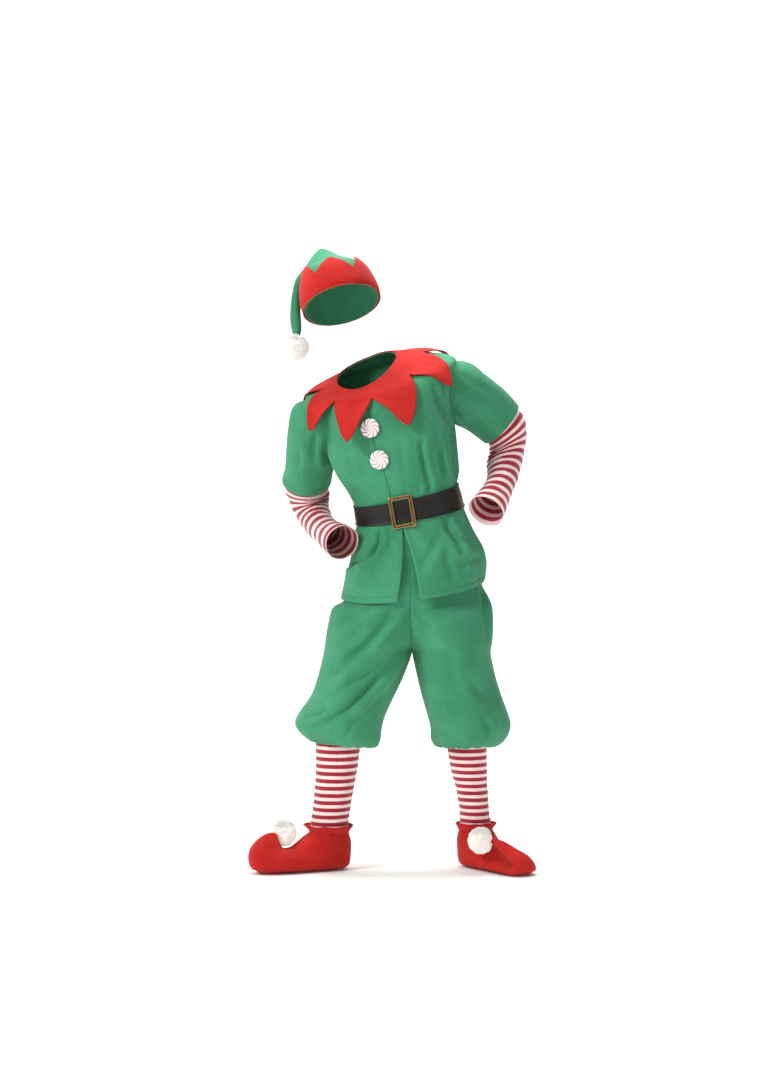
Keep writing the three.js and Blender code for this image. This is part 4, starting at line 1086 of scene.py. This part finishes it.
def mintButton(turn, place):
    shape = bmesh.new()
    bmesh.ops.create_circle(shape, cap_ends=True, radius=mints["across"] / 2, segments=64)
    shell = bmesh.ops.extrude_face_region(shape, geom=shape.faces[:])
    tops = [f for f in shell["geom"] if isinstance(f, bmesh.types.BMFace)]
    bmesh.ops.translate(shape, vec=(0, 0, mints["side"]), verts=tops[0].verts[:])
    for inset, rise in mints["steps"]:
        bmesh.ops.inset_region(shape, faces=tops, thickness=inset, depth=rise)
    bmesh.ops.recalc_face_normals(shape, faces=shape.faces[:])
    uvMap = shape.loops.layers.uv.new("disc")
    for face in shape.faces:
        for loop in face.loops:
            loop[uvMap].uv = (loop.vert.co.x * 0.001, loop.vert.co.y * 0.001)
    matrix = placedOn(tunicForm, tunic["rings"], turn, place, mints["lift"])
    bmesh.ops.transform(shape, matrix=matrix, verts=shape.verts[:])
    return shape


for name, node in (("Upper", "button_upper"), ("Lower", "button_lower")):
    toPiece("mintButton" + name, mintButton(*mints[name]), mintDisc, [node])
print("belt, buckle and buttons done")


# --- breeches ---

breeches = {
    "thick": 1.5, "creaseGain": 1.6, "ripples": ((52, 90, 2.2, 0), (18, 30, 0.5, 0)),
    "right": [
        (742, 0, -62, 37.9, 74, 0, 0.14), (690, 0, -66, 39.9, 82, 0, 0.1), (640, 1, -78, 40.9, 91, 3, 0.06),
        (594, 1, -88, 41.9, 99, 7, 0.03), (552, 2, -98, 41.9, 103, 12, -0.08), (532, 2, -121, 41.9, 110, 22, -0.1),
        (510, 2, -131, 42.9, 115, 34, 0), (478, 2, -136, 43.9, 115, 56, 0), (452, 1, -140, 45.5, 109, 90, 0),
        (404, 0, -152, 28, 98, 90, 0), (362, -3, -166, 8, 94, 90, -0.02), (322, -5, -190, -10, 91, 90, -0.05),
        (296, -7, -199, -17, 88, 90, -0.08), (272, -8, -193, -20, 80, 90, -0.12), (257, -9, -173, -30, 64, 90, -0.12),
        (262, -9, -157, -61, 49, 90, -0.06),
    ],
    "left": [
        (742, 0, 138, 38.1, 74, 0, 0.2), (690, 0, 148, 40.1, 82, 0, 0.14), (640, 1, 174, 41.1, 91, 3, 0.1),
        (594, 1, 191, 42.1, 99, 7, 0.06), (552, 2, 206, 42.1, 103, 12, 0.12), (532, 2, 215, 42.1, 110, 22, 0.1),
        (510, 2, 216, 43.1, 115, 34, 0), (478, 2, 215, 44.1, 115, 56, 0), (452, 1, 212, 46.5, 109, 90, 0),
        (404, 2, 222, 57, 98, 90, 0), (362, 4, 234, 67, 94, 90, 0.02), (322, 6, 248, 79, 91, 90, 0.03),
        (296, 7, 254, 85, 88, 90, 0.04), (272, 8, 246, 86, 80, 90, 0.03), (256, 9, 226, 98, 64, 90, 0.02),
        (262, 9, 206, 119, 49, 90, 0.02),
    ],
    "rightFolds": [(0.86, 0.2, 6.6, 10.8, 8, 0.1), (0.78, 0.36, 9, 13, 8, 0.1), (0.6, 0.26, 4.8, 7.6, 5, 0.11)],
    "leftFolds": [(0.26, 0.2, 5.6, 12.6, 7, 0.09), (0.76, 0.62, 7.2, 10.5, 5, 0.11)],
    "creases": [
        crease([(22, 560), (-40, 484), (-99, 432), (-140, 392)], 7.5, 17, 0.6),
        crease([(24, 470), (-40, 390), (-86, 343), (-160, 300)], 8.5, 14, 0.65),
        crease([(-128, 342), (-152, 330), (-176, 326)], 4, 9, 0.6),
        crease([(-20, 566), (-60, 540), (-100, 528)], 3, 16, 0.5),
        crease([(-60, 330), (-84, 300), (-96, 276)], 3, 11, 0.5),
        crease([(192, 600), (196, 550), (203, 480)], 5, 9, 0.6),
        crease([(158, 415), (192, 370), (228, 345)], 4, 18, 0.5),
        crease([(52, 560), (72, 520), (84, 470)], 3, 17, 0.5),
        crease([(120, 470), (128, 400), (150, 340)], 2.6, 22, 0.5),
        crease([(90, 360), (112, 320), (118, 284)], 2.6, 13, 0.5),
        crease([(190, 330), (206, 300), (204, 276)], 3, 11, 0.5),
        crease([(30, 560), (-10, 520), (-70, 500), (-118, 512)], 6, 14, 0.55, backSide),
        crease([(50, 560), (96, 520), (150, 504), (198, 516)], 6, 14, 0.55, backSide),
        crease([(24, 480), (-30, 440), (-90, 424)], 5, 14, 0.5, backSide),
        crease([(60, 480), (110, 440), (180, 430)], 5, 14, 0.5, backSide),
        crease([(-20, 400), (-70, 370), (-140, 366)], 4, 13, 0.5, backSide),
        crease([(90, 396), (150, 372), (220, 380)], 4, 13, 0.5, backSide),
        crease([(-120, 350), (-110, 310), (-126, 276)], 4, 10, 0.5, backSide),
        crease([(160, 340), (170, 306), (160, 276)], 4, 10, 0.5, backSide),
    ],
    # tucks where the elastic draws the leg in: share across, depth, half width
    "tucks": [
        (0.06, 2.4, 0.03), (0.13, 3.2, 0.035), (0.21, 2.2, 0.03), (0.29, 3.4, 0.04), (0.37, 2.4, 0.03),
        (0.46, 3.0, 0.035), (0.54, 2.2, 0.03), (0.63, 3.4, 0.04), (0.72, 2.6, 0.03), (0.8, 3.2, 0.035),
        (0.88, 2.4, 0.03), (0.95, 2.2, 0.03),
    ],
}


def legCloth(rows, folds, side, seed):
    form = legForm(rows, folds, side)

    def detail(p, across, place):
        push = breeches["creaseGain"] * creasePush(breeches["creases"], p.x, p.z, side)
        push += ripple(p, breeches["ripples"], seed)
        drawn = clamp((place - 11.6) / 2.6) ** 1.5
        for at, depth, half in breeches["tucks"]:
            here = at + 0.03 * math.sin(seed * 3 + at * 20)
            push -= drawn * depth * bump((across - here) / half)
        push *= 1 if place < 14.4 else 0.6
        seam = min(across, 1 - across) * 180
        return push * min(seam / 24, 1) - bump(seam / 3)

    across = spots(0.0006, 0.9994, 62, 0.02, 0.02, 3)
    return layCloth(form, across, spots(0, 15, 116), 250, detail)


legs = (
    ("breechesFrontRight", "right", "rightFolds", frontSide, "pants_front_right", 21),
    ("breechesFrontLeft", "left", "leftFolds", frontSide, "pants_front_left", 22),
    ("breechesBackRight", "right", (), backSide, "pants_back_right", 21),
    ("breechesBackLeft", "left", (), backSide, "pants_back_left", 22),
)
for name, rows, folds, side, node, seed in legs:
    shape = legCloth(breeches[rows], breeches[folds] if folds else (), side, seed)
    piece = toPiece(name, shape, greenCotton, [node], breeches["thick"])
print("breeches done")


# --- striped stockings ---

stockings = {
    "thick": 1.2, "bend": 0.1, "twist": 90, "ridge": 0.5, "ripples": ((26, 20, 0.6, 0),),
    "right": [
        (-110, -9, 288, 47, 46), (-109, -9, 258, 46.4, 46.8), (-112, -8, 210, 43.7, 45), (-118, -6, 163, 41, 43),
        (-124, -4, 118, 39.8, 40.5), (-127, -3, 92, 40, 40), (-128, -3, 64, 37, 37),
    ],
    "left": [
        (162, 7, 288, 43, 45), (162, 8, 258, 42.1, 44.5), (166, 13, 210, 38.5, 42), (173, 22, 163, 33.5, 38),
        (178, 28, 120, 31.8, 35), (181, 30, 92, 33, 33.5), (181, 31, 64, 31, 31),
    ],
    "rolls": [
        (4.4, 20, 110, 1.4, 0.16), (4.75, 300, 100, 1.8, 0.15), (5.1, 60, 110, 1.6, 0.16), (3.9, 200, 90, 1.2, 0.18),
    ],
}
for name, rings, node, seed in (
    ("stockingRight", "right", "stocking_right", 31), ("stockingLeft", "left", "stocking_left", 34),
):
    form = ringForm([(*row, 0, 0, 0, 2) for row in stockings[rings]])

    def detail(p, turn, place):
        slack = rollPush(
            stockings["rolls"], turn, place, stockings["bend"], stockings["twist"], stockings["ridge"], seed * 9
        )
        return ripple(p, stockings["ripples"], seed) + slack

    shape = layCloth(form, spots(0, 360, 64), spots(0, 6, 80), 250, detail, closed=True)
    piece = toPiece(name, shape, stockingKnit, [node], stockings["thick"])
print("stockings done")


# --- boot covers ---

boots = {
    "thick": 1.8, "seamHeight": 7, "seed": 41, "ripples": ((30, 26, 1.0, 0),),
    "right": {
        "x": -128, "y": -3, "heading": -69,
        "sections": [
            (53, 95, -51, 93, 48), (47, 88, -45, 86, 45), (41.5, 79, -41.5, 77, 41.3), (56, 69, -46, 60, 42),
            (70, 59, -47, 34, 40), (79, 53, -41, 8, 39), (86, 50, -18, 0, 39), (92, 49, 32, 0, 41),
            (98, 50, 78, 0, 42),
            (104, 53, 116, 0, 42), (108, 58, 146, 1, 39), (110, 63, 169, 12, 34), (111, 67, 175, 34, 28),
            (112, 70, 168, 57, 22), (113, 73, 152, 74, 15), (113, 76, 132, 83, 9), (112, 78, 119, 83, 4),
        ],
    },
    "left": {
        "x": 181, "y": 31, "heading": 40,
        "sections": [
            (44, 95, -42, 93, 40), (40, 88, -38, 86, 38), (35.5, 79, -35.5, 77, 35.1), (50, 67, -41, 60, 36),
            (64, 55, -43, 34, 36), (76, 46, -38, 8, 36), (88, 39, -18, 0, 37), (101, 32, 28, 0, 38),
            (114, 26, 72, 0, 39),
            (126, 22, 110, 0, 39), (134, 20, 140, 0, 36), (138, 21, 162, 9, 31, -2), (137, 25, 167, 26, 26, -5),
            (130, 32, 157, 44, 21, -10), (114, 42, 132, 57, 16, -18), (97, 56, 110, 69, 11, -27),
            (86, 64, 94, 74, 6, -32),
        ],
    },
    # small pleats under the elastic: turn, depth
    "pleats": [(8, 1.1), (27, 0.8), (44, 1.2), (66, 0.9), (85, 1.2), (104, 0.8), (126, 1.1), (148, 0.9), (171, 1.2),
               (190, 0.8), (212, 1.1), (235, 0.9), (256, 1.2), (277, 0.8), (296, 1.1), (318, 0.9), (341, 1.2)],
}


def bootCloth(boot, low, high):
    form = bootForm(boot)

    def detail(p, turn, place):
        push = ripple(p, boots["ripples"], boots["seed"]) * clamp((p.z - 4) / 10)
        frill = clamp((1.75 - place) / 1.2)
        push += frill * (1.3 * math.sin(math.radians(turn * 9 + 40 * math.sin(math.radians(turn * 2)))) + 0.6)
        drawn = bump((place - 2.1) / 1.6)
        for at, depth in boots["pleats"]:
            push -= drawn * depth * bump(around(turn, at) / 5.5)
        push -= 1.2 * bump((place - 2.0) / 0.16)
        push += 0.5 * bump((place - 1.72) / 0.12)
        seam = min(abs(turn - low), abs(turn - high)) * math.pi / 180 * 38
        if place < 15:
            push -= 1.1 * bump(seam / 2.6)
        if 3.5 < place < 13:
            push += 0.7 * bump((p.z - boots["seamHeight"] - 3) / 3) - 1.0 * bump((p.z - boots["seamHeight"]) / 2)
        return push

    return layCloth(form, spots(low, high, 34, 5, 5, 3), spots(0, 16, 120, 0.3, 0, 3), 120, detail)


def cutLevel(shape, **cleared):
    everything = shape.verts[:] + shape.edges[:] + shape.faces[:]
    level = Vector((0, 0, boots["seamHeight"]))
    bmesh.ops.bisect_plane(shape, geom=everything, plane_co=level, plane_no=(0, 0, 1), **cleared)


for side in ("right", "left"):
    soles = bmesh.new()
    for low, high in ((0, 180), (180, 360)):
        shape = bootCloth(boots[side], low, high)
        sole = shape.copy()
        cutLevel(shape, clear_inner=True)
        cutLevel(sole, clear_outer=True)
        mesh = bpy.data.meshes.new("sole")
        sole.to_mesh(mesh)
        sole.free()
        soles.from_mesh(mesh)
        bpy.data.meshes.remove(mesh)
        half = "outer" if (low == 0) == (side == "left") else "inner"
        name, node = f"boot{side.capitalize()}{half.capitalize()}", f"shoe_{side}_{half}"
        piece = toPiece(name, shape, redFelt, [node], boots["thick"])
    bmesh.ops.remove_doubles(soles, verts=soles.verts[:], dist=0.6)
    name, node = f"boot{side.capitalize()}Sole", f"shoe_{side}_sole"
    piece = toPiece(name, soles, redFelt, [node], boots["thick"])
print("boot covers done")


# --- hat ---

hat = {
    "thick": 1.6, "cuffThick": 2.2, "cuffLift": 0.5, "peaks": 6, "valley": 2.2, "peak": 4.1, "low": 0.03,
    "slow": ((36, 36, 1.6, 51),), "fine": ((12, 16, 0.4, 52),), "cuffRipples": ((30, 30, 0.9, 61),),
    # long dents of the crown: turn, depth, half width in degrees, from and to which place
    "dents": [
        (60, 2.4, 9, 5.0, 9.5), (118, 2.0, 8, 5.5, 10), (190, 2.6, 10, 5.2, 9.8), (250, 2.2, 9, 4.8, 9.2),
        (310, 2.0, 9, 5.5, 12), (20, 1.6, 12, 9, 13.5), (160, 1.8, 14, 9, 13.5), (270, 1.5, 12, 10, 13.5),
    ],
    "rings": [
        (-178, 1165, -24.5, 1205, 5, 98, -17), (-185, 1185, -26, 1219, 6, 97, -15),
        (-187, 1212, -35, 1238, 8, 91, -13),
        (-185, 1238, -49, 1260, 11, 81, -10), (-181, 1256, -69, 1278, 16, 67, -6), (-180, 1260, -98, 1289, 24, 53, 0),
        (-181, 1261, -126, 1302, 33, 41, 0), (-183, 1260, -148, 1308, 42, 31, 0), (-184, 1258, -166, 1292, 48, 23, 0),
        (-185, 1250, -181, 1271, 51, 16, 0), (-185, 1236, -199, 1250, 52, 13, 0), (-188, 1215, -208, 1219, 52, 12, 0),
        (-190, 1180, -212, 1180, 49, 12, 0), (-187, 1150, -211, 1150, 42, 12, 0), (-189, 1122, -205, 1122, 33, 9, 0),
    ],
}
crownForm = hatForm(hat["rings"])


def cuffTop(turn):
    share = (turn * hat["peaks"] / 360) % 1
    return hat["valley"] + (hat["peak"] - hat["valley"]) * abs(2 * share - 1) ** 0.85


def crownDetail(p, turn, place):
    push = ripple(p, hat["slow"]) * min(place / 3, 1) + ripple(p, hat["fine"])
    for at, depth, half, low, high in hat["dents"]:
        f = (place - low) / (high - low)
        if 0 < f < 1:
            push -= depth * bump(around(turn, at) / half) * bump(2 * f - 1)
    push -= 0.9 * bump(around(turn, 180) / 2.5)  # the back seam
    return push - 2.0 * bump((place - 13.9) / 0.35)  # drawn in over the pompom


crown = layCloth(crownForm, spots(0, 360, 96), spots(0, 14, 120), 520, crownDetail, closed=True)
piece = toPiece("hatCrown", crown, greenCotton, ["hat_crown"], hat["thick"])


def cuffForm(turn, share):
    place = hat["low"] + (cuffTop(turn) - hat["low"]) * share
    return crownForm(turn, place)


cuffForm.centre = lambda share: crownForm.centre(share * 3)


def cuffDetail(p, turn, share):
    rolled = 0.9 * bump(share / 0.07) - 0.6 * bump((share - 0.1) / 0.04)
    return hat["cuffLift"] + hat["cuffThick"] + 1.4 + rolled + ripple(p, hat["cuffRipples"]) * min(share * 3, 1)


cuffShape = layCloth(cuffForm, spots(0, 360, 180), spots(0, 1, 30, 0.12, 0, 5), 540, cuffDetail, closed=True)
cuffTree = surfaceOf(cuffShape)
zigzag = [cuffForm(turn / 10, 1 - 3.6 / (20 * (cuffTop(turn / 10) + 0.6))) for turn in range(0, 3604, 6)]
cuffLines = [onSurface(cuffTree, zigzag), onSurface(cuffTree, [cuffForm(turn, 0.13) for turn in range(0, 363, 3)])]
piece = toPiece("hatCuff", cuffShape, redFelt, ["hat_cuff"], hat["cuffThick"])
stitches("cuffSewing", cuffLines, redThread)
print("hat done")


# --- pompoms ---

pompoms = {
    "across": 59, "core": 0.8, "steps": ((0.92, 0.95), (1.0, 0.5)), "lean": 0.2, "stray": 0.12,
    # the last direction and share say where the felt tip presses the yarn in
    "places": [
        ("hatPompom", "hat_pompom", (-199, 29, 1098), (0, 0, 1), 0.0),
        ("bootRightPompom", "shoe_right_pompom", (-222, -27, 80), (-0.75, -0.95, -0.1), 0.42),
        ("bootLeftPompom", "shoe_left_pompom", (189, -58, 69), (1, -0.35, 0.05), 0.3),
    ],
    "pressed": 1.1,
}


def pompom(centre, seed, pressWay, press):  # a fused core with a short yarn end on each of its faces
    chance = random.Random(seed)
    radius = pompoms["across"] / 2
    ball = bmesh.new()
    bmesh.ops.create_icosphere(ball, subdivisions=5, radius=radius * pompoms["core"])
    ends = ball.faces[:]
    ways = []
    for face in ends:
        way = face.calc_center_median().normalized()
        lean = noise.noise_vector(way * 3.2 + Vector((seed * 7, 0, 0))) * pompoms["lean"]
        lean += Vector([chance.uniform(-1, 1) for _ in range(3)]) * pompoms["stray"]
        long = radius * chance.uniform(0.9, 1.0) * (0.97 + 0.07 * noise.noise(way * 2.2 + Vector((0, seed * 5, 0))))
        ways.append((way, (way + lean).normalized(), long))
    for share, width in pompoms["steps"]:
        ends = bmesh.ops.extrude_discrete_faces(ball, faces=ends)["faces"]
        for face, (way, tip, long) in zip(ends, ways):
            middle = face.calc_center_median()
            target = way.lerp(tip, share).normalized() * long * share
            for v in face.verts:
                v.co = target + (v.co - middle) * width
    for v in ball.verts:
        v.co *= 1 - press * bump(v.co.angle(pressWay) / pompoms["pressed"])
    bmesh.ops.translate(ball, vec=centre, verts=ball.verts[:])
    return ball


for k, (name, node, centre, pressWay, press) in enumerate(pompoms["places"]):
    toPiece(name, pompom(Vector(centre), k, Vector(pressWay), press), glowingPlush, [node])
print("pompoms done")


# --- floor, light and camera ---

stage = {
    "floor": -1.052, "back": 3.4, "bend": 1.6, "high": 9, "side": 9, "near": -9, "sky": 0.34,
    "away": 4.2, "halfHigh": 1.134,  # how far the camera stands, and half of what it sees there, upwards
    "lights": [  # where, aimed at, size, power
        ("keyLight", (-2.4, -1.9, 1.5), (0, 0, -0.4), 0.9, 86),
        ("fillLight", (2.4, -3.0, 0.2), (0, 0, -0.5), 2.2, 13),
        ("paperLight", (0, 0.9, 3.2), (0, 3.4, -0.6), 3.0, 270),
    ],
}
floorShape = bmesh.new()
bmesh.ops.create_grid(floorShape, x_segments=1, y_segments=60, size=0.5)
bendLength = stage["bend"] * math.pi / 2
paperLength = stage["back"] - stage["near"] + bendLength + stage["high"]
for v in floorShape.verts:  # one sheet of paper that curves up behind
    v.co.x *= 2 * stage["side"]
    gone = (v.co.y + 0.5) * paperLength + stage["near"] - stage["back"]
    turn = clamp(gone / bendLength) * math.pi / 2
    v.co.y = stage["back"] + min(gone, 0) + stage["bend"] * math.sin(turn)
    v.co.z = stage["floor"] + stage["bend"] * (1 - math.cos(turn)) + max(gone - bendLength, 0)
floorMesh = bpy.data.meshes.new("studioFloor")
floorShape.to_mesh(floorMesh)
floorShape.free()
for polygon in floorMesh.polygons:
    polygon.use_smooth = True
floorPiece = bpy.data.objects.new("studioFloor", floorMesh)
bpy.context.scene.collection.objects.link(floorPiece)
floorPaint, _, _, floorShader = newMaterial("palePaper", 0.9)
floorShader.inputs["Base Color"].default_value = srgb(250, 250, 249)
floorMesh.materials.append(floorPaint)

world = bpy.data.worlds.new("softStudio")
world.use_nodes = True
world.node_tree.nodes["Background"].inputs[0].default_value = (1, 1, 1, 1)
world.node_tree.nodes["Background"].inputs[1].default_value = stage["sky"]
bpy.context.scene.world = world


def softLight(name, spot, aim, size, power):
    lamp = bpy.data.lights.new(name, "AREA")
    lamp.size = size
    lamp.energy = power
    lampPiece = bpy.data.objects.new(name, lamp)
    bpy.context.scene.collection.objects.link(lampPiece)
    lampPiece.location = spot
    lampPiece.rotation_euler = (Vector(aim) - Vector(spot)).to_track_quat("-Z", "Y").to_euler()


for name, *settings in stage["lights"]:
    softLight(name, *settings)

camera = bpy.data.cameras.new("photoCamera")
camera.sensor_fit = "VERTICAL"
camera.sensor_height = 24
camera.lens = camera.sensor_height / 2 / (stage["halfHigh"] / stage["away"])
cameraPiece = bpy.data.objects.new("photoCamera", camera)
bpy.context.scene.collection.objects.link(cameraPiece)
cameraPiece.location = (0.05, -stage["away"], -0.361)
cameraPiece.rotation_euler = (math.pi / 2, 0, 0)
bpy.context.scene.camera = cameraPiece
bpy.context.scene.view_settings.view_transform = "Standard"
